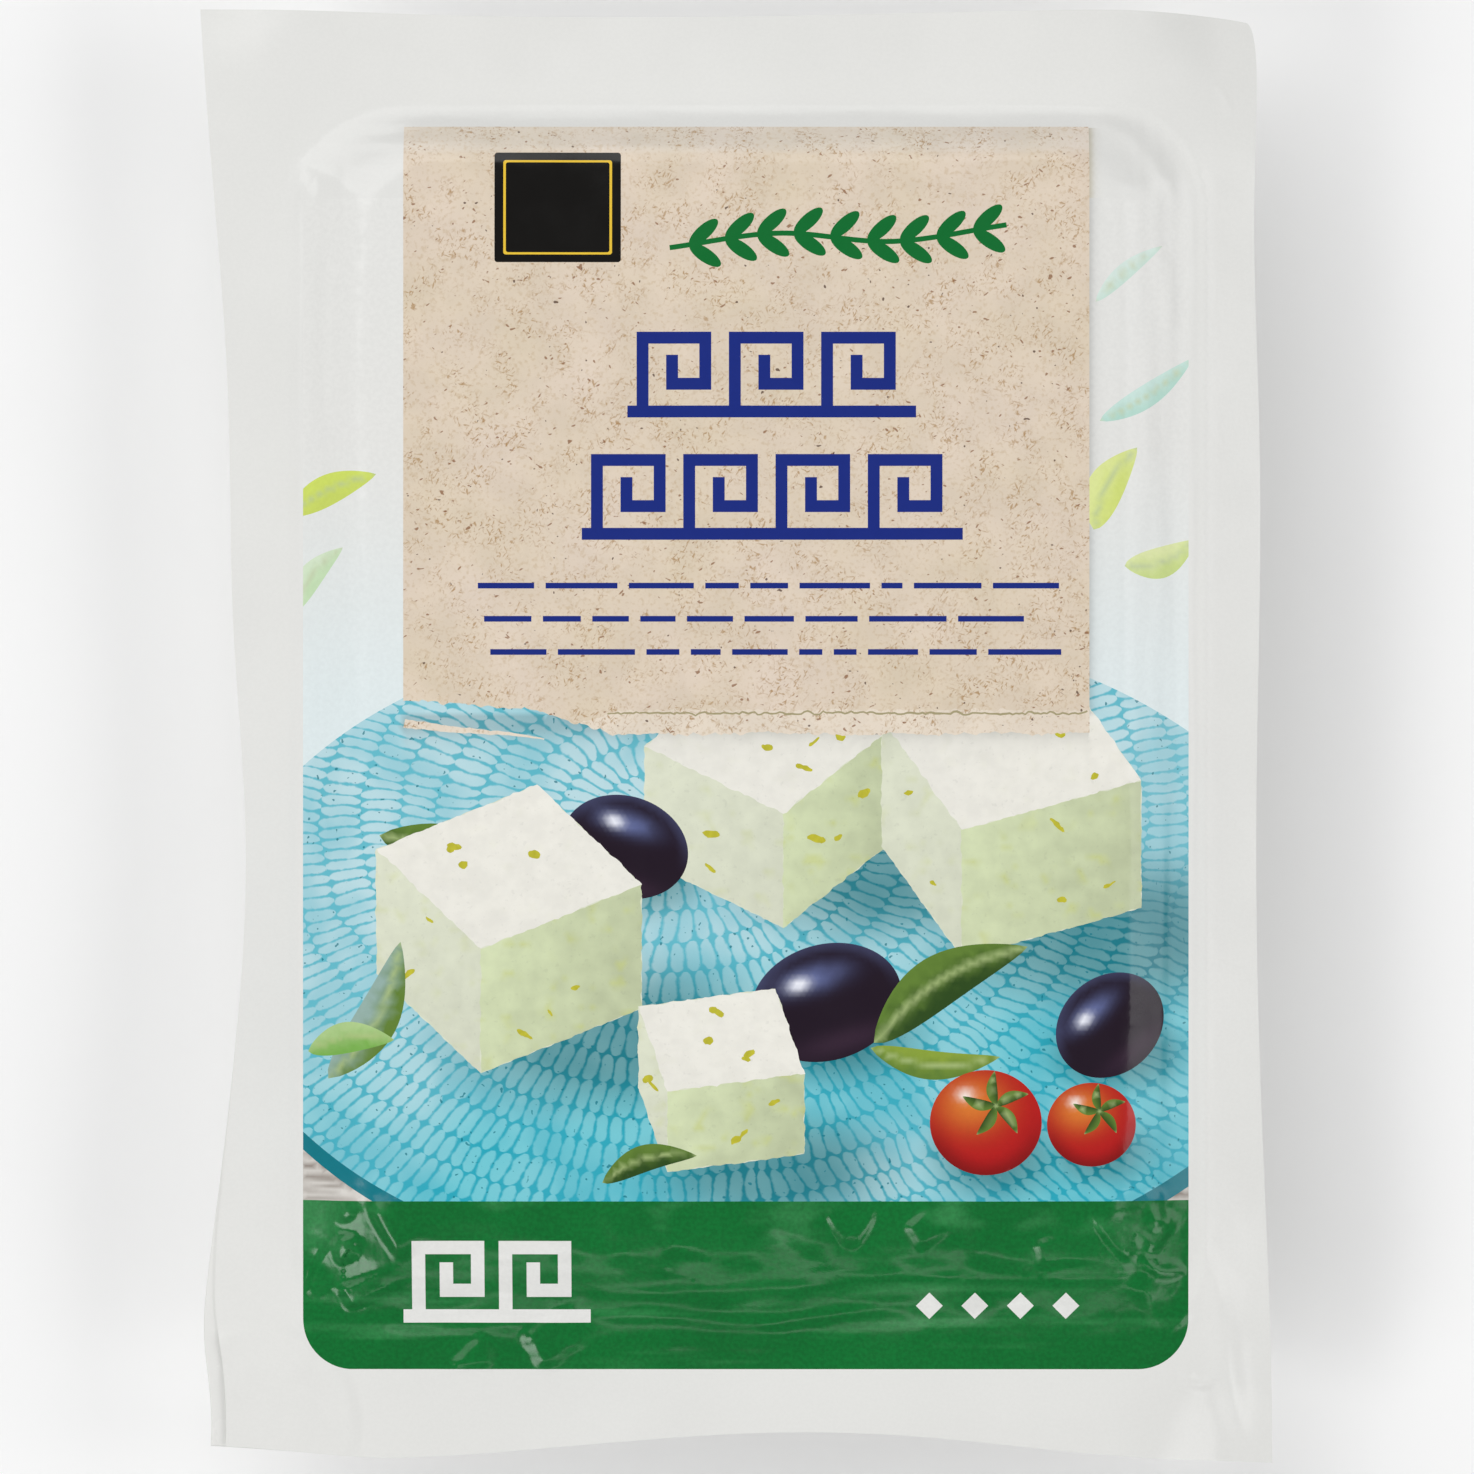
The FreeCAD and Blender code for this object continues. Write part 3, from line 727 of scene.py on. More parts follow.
def make_panel():
    """The field of recycled paper, torn along its foot, with torn scraps and cracks under it."""
    strip = torn_edge(-16.5, PANEL_RIGHT, PANEL_FOOT - 1.9, 0.25, 131)
    strip[:, 1] += 1.3 * ramp(-strip[:, 0], 11, 17)
    torn_sheet(strip, -16.5, PANEL_RIGHT, PANEL_FOOT + 2, even(TORN_BEIGE))
    crack = torn_edge(-13, PANEL_RIGHT, PANEL_FOOT + 0.1, 0.1, 136)
    thick = 0.16 + 0.14 * np.abs(layered_noise(crack[:, 0] / 4, crack[:, 0] * 0, 137))
    stroke(crack, thick, "ink", even(ink(168, 158, 122)))
    sliver = smooth_path([(-32.1, PANEL_FOOT - 0.9), (-27, PANEL_FOOT - 1.5), (-22, PANEL_FOOT - 1.9),
                          (-18.6, PANEL_FOOT - 2.4)], 0.4)
    sliver[:, 1] += 0.1 * layered_noise(sliver[:, 0] / 0.9, sliver[:, 0] * 0, 138)
    stroke(sliver, np.linspace(0.85, 0.12, len(sliver)), "paper", even(TORN_BEIGE))
    edge = torn_edge(PANEL_LEFT, PANEL_RIGHT, PANEL_FOOT + 0.4, 0.15, 141)
    edge[:, 1] += 0.9 * ramp(-edge[:, 0], 16, 34) - 1.3 * np.exp(-((edge[:, 0] + 15.5) / 2.6) ** 2)
    warm = blotchy(BEIGE, ink(228, 212, 196), 9, 142, 0.4)

    # Warm paper print, mixed a little towards white near the panel's head: a painted sheen where the film
    # slopes down over the block's head edge
    def paper_with_sheen(x, y):
        return mix(warm(x, y), WHITE_FILM, 0.3 * ramp(y, 56.2, 57))

    torn_sheet(edge, PANEL_LEFT, PANEL_RIGHT, PANEL_HEAD, paper_with_sheen)
    paint(box_outline(PANEL_RIGHT, PICTURE_HEAD, PANEL_RIGHT + 1.3, PANEL_HEAD - 0.1), "white",
          lambda x, y: mix(EDGE_SHADOW, WHITE_FILM, ramp(panel_shade(x, y), 1 - PANEL_SHADE, 1)), False)


def make_ornaments():
    """Plain ornaments where such a pack has its lettering: key bands, a sprig, rules and a dark label."""
    label = RoundedRectangle(-23.4, 45.8, -11.2, 56.4, 0.3)
    corners = []
    for quarter, side in enumerate([(1, 1), (-1, 1), (-1, -1), (1, -1)]):
        heart = label.centre + (label.half - label.radius) * side
        corners.append(rounded_corner(heart, label.radius, 8, quarter))
    outline = np.vstack(corners)
    for scale, colour in ((1, CHARCOAL), (0.86, YELLOW), (0.82, CHARCOAL)):
        paint((outline - label.centre) * scale + label.centre, "ink", even(colour), False)

    stem = smooth_path([(-6.5, 47.2), (4, 48.6), (15, 47.8), (26, 49.4)])
    stroke(stem, 0.5, "ink", even(GREEN))
    for index in range(9):
        at = stem[int((index + 0.6) * len(stem) / 9.6)]
        for side in (1, -1):
            angle = math.radians(side * 38 + 4)
            tip = at + np.array([math.cos(angle), math.sin(angle)]) * 3.6
            middle = (at + tip) / 2
            paint(ellipse_outline(middle, (1.8, 0.68), angle, 28), "ink", even(GREEN), False)

    make_key_band(-10, 31.4, 8.9, 3, 1.15, NAVY)
    make_key_band(-14.4, 19.6, 8.9, 4, 1.15, NAVY)
    chance = np.random.default_rng(7)
    for row, height in enumerate((14.6, 11.4, 8.2)):
        at = -25 + 0.6 * row
        while at < 25.5 - 0.5 * row:
            run = chance.uniform(2, 7.5)
            stroke([(at, height), (at + run / 2, height), (at + run, height)], 0.55, "ink", even(NAVY))
            at += run + 1.1


def band_colour(x, y):
    """Green print, with a painted sheen: paler patches where the loose film stands off what is under it and
    would catch the lamps.
    """
    # Painted sheen: three soft masks lighten the green, along the band's head, in streaks at its foot and at
    # its left corner
    haze = 0.45 * ramp(layered_noise(x / 9, y / 4, 152), 0.15, 0.95) * ramp(y, -51.5, -46.5)
    haze = haze + 0.4 * ramp(layered_noise(x / 24, y / 1.8, 154), 0.2, 0.95) * (1 - ramp(y, -54, -50))
    haze = haze + 0.55 * ramp(-x, 36, 41) * ramp(y, -51.5, -46.5)
    return mix(GREEN, SHEEN_GREEN, np.clip(haze, 0, 1))


def make_band():
    """The green band at the foot, with plain white ornaments."""
    foot = BAND_FOOT + BAND_CORNER
    left = rounded_corner((BAND_LEFT + BAND_CORNER, foot), BAND_CORNER, 18, 2)
    right = rounded_corner((BAND_RIGHT - BAND_CORNER, foot), BAND_CORNER, 18, 3)
    outline = np.vstack([left, right, [(BAND_RIGHT, BAND_HEAD), (BAND_LEFT, BAND_HEAD)]])
    paint(outline, "band", band_colour, False)
    make_key_band(-31.6, -56, 8.4, 2, 1.3, WHITE_FILM)
    for index in range(4):
        paint(ellipse_outline((18.6 + index * 4.4, -55), (1.3, 1.3), 0, 4), "ink", even(WHITE_FILM), False)


# ---- meshes

FOOT_LEFT = np.array([-HALF_WIDTH, -HALF_LENGTH])
FINE_STEP, COARSE_STEP, INNER_STEP = 0.34, 0.54, 3.0
LINE_GAP = 0.17         # how clear of the print's outlines the loose points lie
INNER_DROP = 0.75       # how far the inner face lies under the loose film
OUTER_SHARE = 0.96
SLOPE_STEP = 0.06


def in_polygon(x, y, outline):
    """Whether each point lies in the outline, by the even and odd rule."""
    low, high = outline.min(0), outline.max(0)
    near = (x >= low[0]) & (x <= high[0]) & (y >= low[1]) & (y <= high[1])
    px, py = x[near], y[near]
    odd = np.zeros(len(px), bool)
    for (x0, y0), (x1, y1) in zip(outline, np.roll(outline, -1, 0)):
        if y0 != y1:
            odd ^= ((y0 > py) != (y1 > py)) & (px < x0 + (py - y0) * (x1 - x0) / (y1 - y0))
    inside = np.zeros(len(x), bool)
    inside[near] = odd
    return inside


def hex_grid(step, low, high):
    """Points of a grid of even triangles."""
    rows = np.arange(low[1], high[1], step * math.sqrt(3) / 2)
    columns = np.arange(low[0], high[0], step)
    x, y = np.meshgrid(columns, rows)
    x = x + (np.arange(len(rows)) % 2)[:, None] * step / 2
    return np.stack([x.ravel(), y.ravel()], 1)


def clear_of_lines(points, lines, cell):
    """The points that lie about a cell or more from every line."""
    low = np.array([-HALF_WIDTH - 2, -HALF_LENGTH - 2])
    shape = (np.array([2 * HALF_WIDTH + 4, 2 * HALF_LENGTH + 4]) / cell).astype(int) + 2
    taken = np.zeros(shape, bool)
    for line in lines:
        at = ((dense(line, cell / 2) - low) / cell).astype(int)
        at = at[(at >= 1).all(1) & (at < shape - 1).all(1)]
        for step_x in (-1, 0, 1):
            for step_y in (-1, 0, 1):
                taken[at[:, 0] + step_x, at[:, 1] + step_y] = True
    at = ((points - low) / cell).astype(int)
    return points[~taken[at[:, 0], at[:, 1]]]


def triangulate(lines, loose):
    """Triangles whose edges hold every line. Returns the points and the triangles, wound anticlockwise."""
    points = np.vstack([*lines, loose])
    edges = []
    start = 0
    for line in lines:
        count = len(line)
        edges += [(start + index, start + (index + 1) % count) for index in range(count)]
        start += count
    result = delaunay_2d_cdt([Vector(point) for point in points], edges, [], 0, 1e-5, False)
    return np.array([tuple(vertex) for vertex in result[0]]), np.array(result[2], int)


def border(faces):
    """The border of a patch of triangles, as pairs of points in winding order."""
    edges = np.vstack([faces[:, [0, 1]], faces[:, [1, 2]], faces[:, [2, 0]]])
    keys = {(int(a), int(b)) for a, b in edges}
    return [(a, b) for a, b in keys if (b, a) not in keys]


def film_normals(x, y):
    """Normals of the film's outer face from the slope of its height."""
    slope_x = (film_height(x + SLOPE_STEP, y) - film_height(x - SLOPE_STEP, y)) / (2 * SLOPE_STEP)
    slope_y = (film_height(x, y + SLOPE_STEP) - film_height(x, y - SLOPE_STEP)) / (2 * SLOPE_STEP)
    normals = np.stack([-slope_x, -slope_y, np.ones_like(x)], 1)
    return normals / np.linalg.norm(normals, axis=1)[:, None]


def place_object(name, data):
    thing = bpy.data.objects.new(name, data)
    bpy.context.scene.collection.objects.link(thing)
    return thing


def new_object(name, vertices, faces):
    """An object from points in millimetres."""
    mesh = bpy.data.meshes.new(name)
    mesh.from_pydata((np.asarray(vertices) * MM).tolist(), [], [list(map(int, face)) for face in faces])
    mesh.update()
    return place_object(name, mesh)


def owners(middle, frame_line):
    """Which of the print's regions shows at each point: the last one painted there, or -1 for none."""
    x, y = middle.T
    in_picture = in_polygon(x, y, frame_line)
    owner = np.full(len(middle), -1)
    for index, (line, _, _, framed) in enumerate(shapes):
        hit = in_polygon(x, y, line)
        owner[hit & in_picture if framed else hit] = index
    return owner


def inner_face(outline, inner, flat, rim):
    """The film's plain inner face: its points, its triangles, and which point lies under each of the rim."""
    loose = clear_of_lines(hex_grid(INNER_STEP, FOOT_LEFT, -FOOT_LEFT), [outline], 1.2)
    loose = loose[in_polygon(*loose.T, inner)]
    under_flat, under_faces = triangulate([outline], loose)
    under_faces = under_faces[in_polygon(*under_flat[under_faces].mean(1).T, outline)]
    under_of = {vertex: np.argmin(np.hypot(*(under_flat - flat[vertex]).T)) for vertex in rim}
    x, y = under_flat.T
    depth = TOP_FILM + INNER_DROP * ramp(-SEAL.distance(x, y), -1.0, 1.5)
    height = SEAL_HEIGHT + TOP_FILM + soft_height(x, y) + peel_lift(x, y) - depth
    return np.stack([x, y, height], 1), under_faces, under_of


def colour_faces(mesh, materials, owner, corner_x, corner_y):
    """Gives each face its region's material, and each of its corners the region's colour there."""
    names = list(materials)
    for name in names:
        mesh.materials.append(materials[name])
    slots = np.zeros(len(mesh.polygons), np.int32)
    colours = np.ones((len(mesh.polygons) * 3, 4))
    colours[:, :3] = WHITE_FILM
    for index, (_, material, colour, _) in enumerate(shapes):
        mine = np.flatnonzero(owner == index)
        if not len(mine):
            continue
        slots[mine] = names.index(material)
        corners = (mine[:, None] * 3 + np.arange(3)).ravel()
        colours[corners, :3] = colour(corner_x[mine].ravel(), corner_y[mine].ravel())
    mesh.polygons.foreach_set("material_index", slots)
    attribute = mesh.color_attributes.new("ink", "FLOAT_COLOR", "CORNER")
    attribute.data.foreach_set("color", np.clip(colours, 0, 1).astype(np.float32).ravel())


def lay_out(mesh, corners, top_corners):
    """Texture coordinates seen from above: the outer face on the left, and all else in a strip beside it."""
    share = (corners[:, :2] - FOOT_LEFT) / (-2 * FOOT_LEFT)
    share[:top_corners, 0] *= OUTER_SHARE
    share[top_corners:, 0] = OUTER_SHARE + 0.01 + 0.03 * share[top_corners:, 0]
    mesh.uv_layers.new(name="OFBake").data.foreach_set("uv", share.astype(np.float32).ravel())


def make_top_film(materials):
    """The printed film: a dense outer face cut along every outline of the print, and a plain inner face."""
    outline = dense(rim_outline(0), LINE_STEP)
    frame_line = dense(box_outline(BAND_LEFT, BAND_HEAD, BAND_RIGHT, PICTURE_HEAD), LINE_STEP)
    lines = [outline] + [shape[0] for shape in shapes]
    fine, coarse = hex_grid(FINE_STEP, FOOT_LEFT, -FOOT_LEFT), hex_grid(COARSE_STEP, FOOT_LEFT, -FOOT_LEFT)
    fine_head = BAND_HEAD + 3
    loose = np.vstack([fine[fine[:, 1] < fine_head], coarse[coarse[:, 1] >= fine_head]])
    inner = outline * (1 - 0.5 / HALF_WIDTH)
    loose = loose[in_polygon(*loose.T, inner)]
    flat, faces = triangulate(lines, clear_of_lines(loose, lines, LINE_GAP))
    faces = faces[in_polygon(*flat[faces].mean(1).T, outline)]

    x, y = flat.T
    top = np.stack([x, y, film_height(x, y)], 1)
    edge_pairs = border(faces)
    under, under_faces, under_of = inner_face(outline, inner, flat, sorted({a for a, _ in edge_pairs}))
    count = len(top)
    walls = []
    for a, b in edge_pairs:
        below_a, below_b = count + under_of[a], count + under_of[b]
        walls += [(b, a, below_a), (b, below_a, below_b)]
    points = np.vstack([top, under])
    all_faces = np.vstack([faces, np.array(walls), (under_faces + count)[:, ::-1]])
    used = np.unique(all_faces)
    renumber = np.full(len(points), -1)
    renumber[used] = np.arange(len(used))
    piece = new_object("printed_film", points[used], renumber[all_faces])

    mesh = piece.data
    corners = flat[faces]
    colour_faces(mesh, materials, owners(corners.mean(1), frame_line), corners[:, :, 0], corners[:, :, 1])
    lay_out(mesh, points[all_faces].reshape(-1, 3), len(faces) * 3)
    mesh.shade_smooth()
    plain = np.zeros(len(all_faces) * 3)
    mesh.polygons.foreach_get("normal", plain)
    corner_normals = np.repeat(plain.reshape(-1, 1, 3), 3, axis=1)
    corner_normals[:len(faces)] = film_normals(x, y)[faces]
    mesh.normals_split_custom_set(corner_normals.reshape(-1, 3).tolist())
    return piece


def ray_reach(angles, centre, shape):
    """How far a ray from the centre runs before it leaves a rounded rectangle."""
    near, far = np.zeros_like(angles), np.full_like(angles, 120.0)
    for _ in range(40):
        middle = (near + far) / 2
        inside = shape.distance(centre[0] + middle * np.cos(angles), centre[1] + middle * np.sin(angles)) < 0
        near, far = np.where(inside, middle, near), np.where(inside, far, middle)
    return near


HIDDEN_DROP = 1.4       # how far the base film's hidden face lies under the top film
RIM_GAP = 0.03
RIM_FACE = (0.12, 0.3, 0.55, 0.8, 0.985, 1.0)
RIM_BACK = (1.0, 0.985, 0.85, 0.7, 0.55, 0.4, 0.25, 0.12, 0.0)


def base_rings(centre):
    """Rings of points, from the base film's face under the top film, round the rim and down to the back."""
    outline = dense(rim_outline(PEEL_OVERHANG), 0.8)
    away = outline - centre
    angles = np.arctan2(away[:, 1], away[:, 0])
    outline_reach = np.hypot(away[:, 0], away[:, 1])
    seal_reach = ray_reach(angles, centre, SEAL)
    wrapped = BLOCK.shrunk(-BASE_FILM)
    wall_reach = ray_reach(angles, centre, wrapped)
    back_reach = ray_reach(angles, centre, wrapped.shrunk(BACK_EDGE))
    corner = np.clip(1 - np.minimum(np.abs(np.abs(away[:, 0]) / BLOCK.half[0] - 1) * 5,
                                    np.abs(np.abs(away[:, 1]) / BLOCK.half[1] - 1) * 5), 0, 1)

    def around(size, drop, seed):
        """Noise along the pack's girth that meets itself."""
        girth = 60.0 / size
        return noise(np.cos(angles) * girth + drop, np.sin(angles) * girth - drop, seed)

    rings = []

    def place(reach):
        return centre[0] + reach * np.cos(angles), centre[1] + reach * np.sin(angles)

    def add(reach, height):
        rings.append(np.stack([*place(reach), np.broadcast_to(height, reach.shape)], 1))

    under_block = [wall_reach * share for share in (0.3, 0.6, 0.85, 1.0)]
    under_slack = [wall_reach + (seal_reach - wall_reach) * share for share in (0.3, 0.6, 0.9)]
    for reach in under_block + under_slack:
        add(reach, SEAL_HEIGHT + soft_height(*place(reach)) - HIDDEN_DROP)
    for shares, lift in ((RIM_FACE, -RIM_GAP), (RIM_BACK, -BASE_FILM - RIM_GAP)):
        for share in shares:
            reach = seal_reach + (outline_reach - seal_reach) * share
            add(reach, SEAL_HEIGHT + rim_height(*place(reach)) + lift)
    rim_underside = SEAL_HEIGHT - BASE_FILM
    for turn in np.linspace(0, math.pi / 2, 15)[1:]:
        drop = SKIRT_DROP * (1 - math.cos(turn))
        gather = 0.5 * around(5.0, drop / 8, 201) + 0.25 * around(2.2, drop / 5, 202)
        loose = math.sin(2 * turn)
        reach = seal_reach + (wall_reach - seal_reach) * math.sin(turn)
        add(reach + gather * loose * 0.5, rim_underside - drop + gather * loose * 0.5)
    wall_top, wall_foot = rim_underside - SKIRT_DROP, BACK_EDGE
    for share in np.linspace(0, 1, 11)[1:]:
        height = wall_top + (wall_foot - wall_top) * share
        dent = 0.22 * around(4.0, height / 9, 203) + 0.12 * around(1.8, height / 6, 204)
        hollow = 0.35 * math.sin(math.pi * share)
        add(wall_reach - hollow - np.abs(dent) * math.sin(math.pi * share) * (0.6 + 0.8 * corner), height)
    for turn in np.linspace(0, math.pi / 2, 9)[1:]:
        reach = back_reach + (wall_reach - back_reach) * math.cos(turn)
        pinch = 0.18 * around(2.6, turn, 205) * math.sin(2 * turn)
        add(reach + pinch, BACK_EDGE * (1 - math.sin(turn)))
    for share in (0.97, 0.93, 0.88, 0.8, 0.7, 0.58, 0.45, 0.3, 0.15):
        x, y = place(back_reach * share)
        dent = 0.16 * np.maximum(layered_noise(x / 9, y / 9, 206), 0)
        add(back_reach * share, dent * ramp(1 - share, 0, 0.08))
    return rings


def make_base_film(material):
    """The formed base film, as one skin over its rings."""
    centre = BLOCK.centre
    rings = base_rings(centre)
    count = len(rings[0])
    middles = [(*centre, rings[0][:, 2].mean()), (*centre, 0.0)]
    vertices = np.vstack(rings + [middles])
    faces = []
    step = np.arange(count)
    following = (step + 1) % count
    for index in range(len(rings) - 1):
        a, b = index * count, (index + 1) * count
        faces += np.stack([a + step, b + step, b + following, a + following], 1).tolist()
    top_middle, back_middle = len(rings) * count, len(rings) * count + 1
    last = (len(rings) - 1) * count
    faces += [(top_middle, int(a), int(b)) for a, b in zip(step, following)]
    faces += [(back_middle, int(last + b), int(last + a)) for a, b in zip(step, following)]
    piece = new_object("formed_film", vertices, faces)
    piece.data.materials.append(material)
    piece.data.shade_smooth()
    return piece


# ---- materials

FILM_IOR = 1.42
FILM_RELIEF = 0.0006


class Nodes:
    """A material's node tree, with short ways to add to it."""

    def __init__(self, name):
        self.material = bpy.data.materials.new(name)
        self.material.use_nodes = True
        self.tree = self.material.node_tree
        self.shader = self.tree.nodes["Principled BSDF"]
        self.place = self.add("ShaderNodeTexCoord").outputs["Object"]

    def add(self, kind, **settings):
        node = self.tree.nodes.new(kind)
        for key, value in settings.items():
            setattr(node, key, value)
        return node

    def put(self, node, values):
        """Sets or links some of the node's inputs."""
        for name, value in values.items():
            if isinstance(value, bpy.types.NodeSocket):
                self.tree.links.new(value, node.inputs[name])
            else:
                node.inputs[name].default_value = value

    def maths(self, operation, *values):
        node = self.add("ShaderNodeMath", operation=operation)
        self.put(node, dict(enumerate(values)))
        return node.outputs[0]

    def noise(self, scale, detail=2.0, stretch=None, turn=0.0, distortion=0.0):
        """Noise with that many cells to the metre."""
        source = self.place
        if stretch is not None:
            mapping = self.add("ShaderNodeMapping", vector_type="TEXTURE")
            self.put(mapping, {"Vector": self.place, "Rotation": (0, 0, turn), "Scale": stretch})
            source = mapping.outputs[0]
        node = self.add("ShaderNodeTexNoise")
        self.put(node, {"Vector": source, "Scale": scale, "Detail": detail, "Distortion": distortion})
        return node.outputs["Fac"]

    def range(self, value, from_low, from_high, to_low=0.0, to_high=1.0):
        node = self.add("ShaderNodeMapRange", interpolation_type="SMOOTHSTEP")
        self.put(node, {"Value": value, "From Min": from_low, "From Max": from_high, "To Min": to_low,
                        "To Max": to_high})
        return node.outputs["Result"]

    def blend(self, first, second, share, mode="MIX"):
        node = self.add("ShaderNodeMix", data_type="RGBA", blend_type=mode)
        self.put(node, {"Factor": share, "A": first, "B": second})
        return node.outputs["Result"]

    def tinted(self, colour, tint):
        return self.blend(colour, tint, 1.0, "MULTIPLY")

    def plus(self, first, second):
        return self.maths("ADD", first, second)

    def less(self, first, second):
        return self.maths("SUBTRACT", first, second)

    def times(self, first, second):
        return self.maths("MULTIPLY", first, second)

    def over(self, first, second):
        return self.maths("DIVIDE", first, second)

    def film(self, colour, roughness=0.2, relief=0.06):
        """Finishes the surface as glossy film: fine waves, and gloss that varies a little."""
        gloss = self.range(self.noise(260, 3), 0.3, 0.7, roughness * 0.8, roughness * 1.25)
        waves = self.noise(420, 3, distortion=0.4)
        height = self.plus(waves, self.times(self.noise(2600, 1, (1, 4, 1)), 0.12))
        bump = self.add("ShaderNodeBump")
        self.put(bump, {"Strength": relief, "Distance": FILM_RELIEF, "Height": height})
        self.put(self.shader, {"Base Color": colour, "Roughness": gloss, "Normal": bump.outputs["Normal"],
                               "IOR": FILM_IOR})
        return self.material


def rgba(colour):
    return (*[float(value) for value in colour], 1.0)


def printed(name):
    """A material whose colour is the print's own."""
    nodes = Nodes(name)
    colour = nodes.add("ShaderNodeAttribute", attribute_name="ink").outputs["Color"]
    return nodes, colour


# Each plain print: its material's name, and its grain as noise scale, detail, from, to, darkest and lightest.
PLAIN_PRINTS = {
    "white": ("white_film", [(60, 3, 0.3, 0.7, 0.975, 1.0), (3200, 1, 0.3, 0.7, 0.985, 1.0)]),
    "ink": ("printed_ink", [(2400, 2, 0.25, 0.75, 0.97, 1.01)]),
    "band": ("green_band", [(2600, 2, 0.25, 0.75, 0.86, 1.1), (90, 2, 0.3, 0.7, 0.92, 1.06)]),
    "cheese": ("cheese_print", [(700, 4, 0.3, 0.7, 0.95, 1.01), (2200, 2, 0.62, 0.74, 1.0, 0.93)]),
}


def make_plain_print(name, grains):
    nodes, colour = printed(name)
    for scale, detail, low, high, darkest, lightest in grains:
        colour = nodes.tinted(colour, nodes.range(nodes.noise(scale, detail), low, high, darkest, lightest))
    return nodes.film(colour)


def make_paper():
    """Recycled paper under the gloss: warm clouds, and brown flecks that lie every way."""
    nodes, colour = printed("recycled_paper")
    surface = nodes.tinted(colour, nodes.range(nodes.noise(240, 4), 0.3, 0.7, 0.95, 1.02))
    fibres = nodes.range(nodes.noise(2600, 3), 0.5, 0.72, 0.0, 0.4)
    surface = nodes.blend(surface, rgba(ink(196, 170, 132)), fibres)
    clumps = nodes.range(nodes.noise(330, 2), 0.42, 0.62, 0.0, 1.0)
    for scale, length, turn in ((4600, 3, 0.3), (4800, 3.5, 1.3), (4500, 3, 2.3), (4300, 3.5, -0.5)):
        share = nodes.range(nodes.noise(scale, 1, (1, length, 1), turn), 0.62, 0.74, 0.0, 0.7)
        surface = nodes.blend(surface, rgba(ink(170, 132, 84)), nodes.times(share, clumps))
    for scale, length, turn in ((2400, 2.2, 0.9), (2500, 2.6, -1.0), (2300, 2, 1.8)):
        share = nodes.range(nodes.noise(scale, 1, (1, length, 1), turn), 0.74, 0.785, 0.0, 0.8)
        surface = nodes.blend(surface, rgba(ink(138, 92, 56)), share)
    dots = nodes.range(nodes.noise(2300, 0), 0.84, 0.87, 0.0, 0.85)
    return nodes.film(nodes.blend(surface, rgba(ink(84, 58, 44)), dots), 0.24)


RINGS_CENTRE = PLATE_CENTRE + (-9.0, 12.0)
RINGS_FLATTEN = PLATE_HALF[0] / PLATE_HALF[1] * 0.8
RING_WIDTH, PETAL_WIDTH = 0.0038, 0.00145


def make_glaze():
    """Glazed ceramic: rings of pale, slim petals about the plate's centre, and dark specks."""
    nodes, colour = printed("glaze_print")
    parts = nodes.add("ShaderNodeSeparateXYZ")
    nodes.put(parts, {0: nodes.place})
    wobble = nodes.times(nodes.less(nodes.noise(160, 2), 0.5), 0.0022)
    across = nodes.plus(nodes.less(parts.outputs["X"], RINGS_CENTRE[0] * MM), wobble)
    along = nodes.times(nodes.less(parts.outputs["Y"], RINGS_CENTRE[1] * MM), RINGS_FLATTEN)
    along = nodes.plus(along, wobble)
    reach = nodes.maths("SQRT", nodes.plus(nodes.times(across, across), nodes.times(along, along)))
    angle = nodes.maths("ARCTAN2", along, across)
    ring = nodes.maths("FLOOR", nodes.over(reach, RING_WIDTH))
    in_ring = nodes.maths("FRACT", nodes.over(reach, RING_WIDTH))
    more_petals = 2 * math.pi * RING_WIDTH / PETAL_WIDTH
    petals = nodes.maths("ROUND", nodes.maths("MULTIPLY_ADD", ring, more_petals, 9.0))
    turned = nodes.maths("MULTIPLY_ADD", ring, 0.37, nodes.over(angle, 2 * math.pi))
    in_petal = nodes.maths("FRACT", nodes.times(turned, petals))
    side = nodes.maths("ABSOLUTE", nodes.less(in_petal, 0.5))
    end = nodes.maths("ABSOLUTE", nodes.less(in_ring, 0.5))
    blunt = nodes.times(nodes.maths("POWER", nodes.times(end, 2.0), 5.0), 0.3)
    uneven = nodes.times(nodes.less(nodes.noise(1500, 2), 0.5), 0.28)
    petal = nodes.range(nodes.plus(nodes.plus(side, blunt), uneven), 0.32, 0.5, 1.0, 0.0)
    patchy = nodes.range(nodes.noise(130, 2), 0.35, 0.65, 0.55, 1.0)
    deep = nodes.blend(colour, (0.2, 0.68, 0.77, 1), 0.9, "MULTIPLY")
    pale = nodes.blend(colour, rgba(ink(235, 240, 242)), 0.12)
    surface = nodes.blend(deep, pale, nodes.times(petal, patchy))
    specks = nodes.range(nodes.noise(2400, 0), 0.78, 0.82, 0.0, 0.8)
    return nodes.film(nodes.blend(surface, rgba(ink(0, 118, 134)), specks))


def make_base_material():
    """White formed film: soft milky tone, gloss, and fine creases."""
    nodes = Nodes("formed_white_film")
    cloud = nodes.range(nodes.noise(70, 3), 0.3, 0.7, 0.96, 1.0)
    return nodes.film(nodes.tinted(rgba(WHITE_FILM), cloud), 0.24, 0.12)


# ---- the studio


FLOOR_HALF = 600
FLOOR_COLOUR = ink(251, 251, 251)
WORLD_LIGHT = 0.26
CAMERA_HEIGHT, VIEW_WIDTH = 1.1, 0.1427

# Lamps: name, place, size, power.
LAMPS = [
    ("head_left", (-0.4, 0.62, 0.7), (1.1, 0.9), 5.9),
    ("right", (0.75, 0.1, 0.55), (0.5, 0.7), 2.2),
    ("foot_left", (-0.62, -0.52, 0.6), (0.4, 0.4), 3.2),
    ("foot_right", (0.62, -0.52, 0.6), (0.4, 0.4), 1.6),
    ("foot_strip", (0.04, -0.58, 0.66), (0.5, 0.1), 0.3),
]


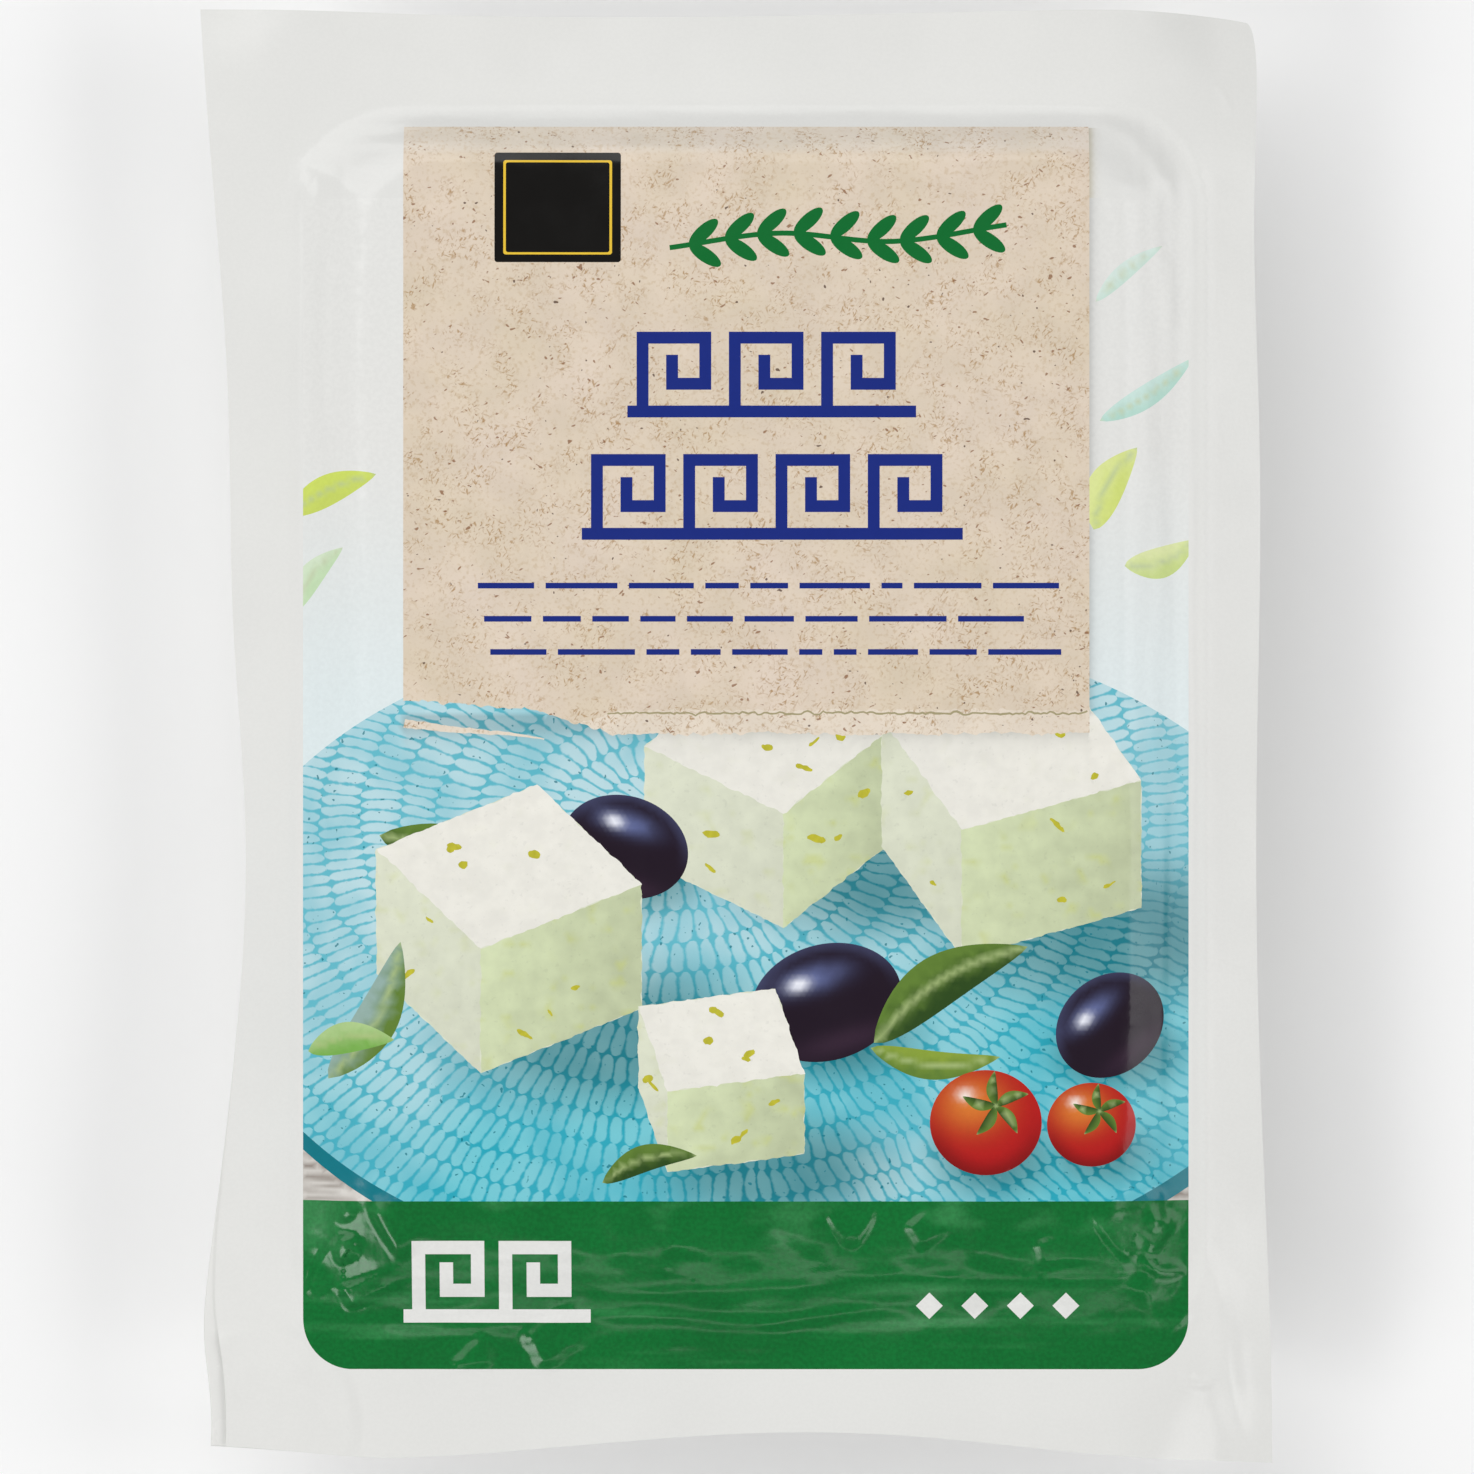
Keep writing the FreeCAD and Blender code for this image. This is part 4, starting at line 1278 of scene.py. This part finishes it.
def make_floor():
    corners = [(x * FLOOR_HALF, y * FLOOR_HALF, 0) for x, y in ((-1, -1), (1, -1), (1, 1), (-1, 1))]
    floor = new_object("studio_floor", corners, [(0, 1, 2, 3)])
    nodes = Nodes("pale_floor")
    tone = nodes.range(nodes.noise(18, 3), 0.3, 0.7, 0.985, 1.0)
    nodes.put(nodes.shader, {"Base Color": nodes.tinted(rgba(FLOOR_COLOUR), tone), "Roughness": 0.7})
    floor.data.materials.append(nodes.material)
    floor.location.z = -0.0001


def make_lamp(name, place, size, power):
    """A soft lamp that shines on the middle of the floor."""
    data = bpy.data.lights.new(name, "AREA")
    data.shape = "RECTANGLE"
    data.size, data.size_y = size
    data.energy = power
    lamp = place_object(name, data)
    lamp.location = place
    lamp.rotation_euler = (-Vector(place)).to_track_quat("-Z", "Y").to_euler()
    lamp.visible_camera = False


def make_light():
    for lamp in LAMPS:
        make_lamp(*lamp)
    world = bpy.data.worlds.new("studio")
    world.use_nodes = True
    tree = world.node_tree
    background = tree.nodes["Background"]
    path = tree.nodes.new("ShaderNodeLightPath")
    level = tree.nodes.new("ShaderNodeMix")
    level.data_type = "FLOAT"
    tree.links.new(path.outputs["Is Camera Ray"], level.inputs["Factor"])
    level.inputs["A"].default_value = WORLD_LIGHT
    level.inputs["B"].default_value = 1.0
    background.inputs["Color"].default_value = (1, 1, 1, 1)
    tree.links.new(level.outputs["Result"], background.inputs["Strength"])
    bpy.context.scene.world = world


def make_camera():
    """Looks straight down, with the pack's head at the top of the picture."""
    data = bpy.data.cameras.new("camera")
    data.sensor_width = 36
    data.lens = data.sensor_width * (CAMERA_HEIGHT - SEAL_HEIGHT * MM) / VIEW_WIDTH
    camera = place_object("camera", data)
    camera.location = (0, 0, CAMERA_HEIGHT)
    bpy.context.scene.camera = camera


make_camera()
make_floor()
make_light()

film_materials = {name: make_plain_print(*recipe) for name, recipe in PLAIN_PRINTS.items()}
film_materials["paper"] = make_paper()
film_materials["glaze"] = make_glaze()
make_picture()
make_panel()
make_ornaments()
make_band()
film = make_top_film(film_materials)
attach(film, "root")
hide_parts("top_film")

base = make_base_film(make_base_material())
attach(base, "root")
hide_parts("formed_base")

bpy.context.scene.view_settings.view_transform = "Standard"
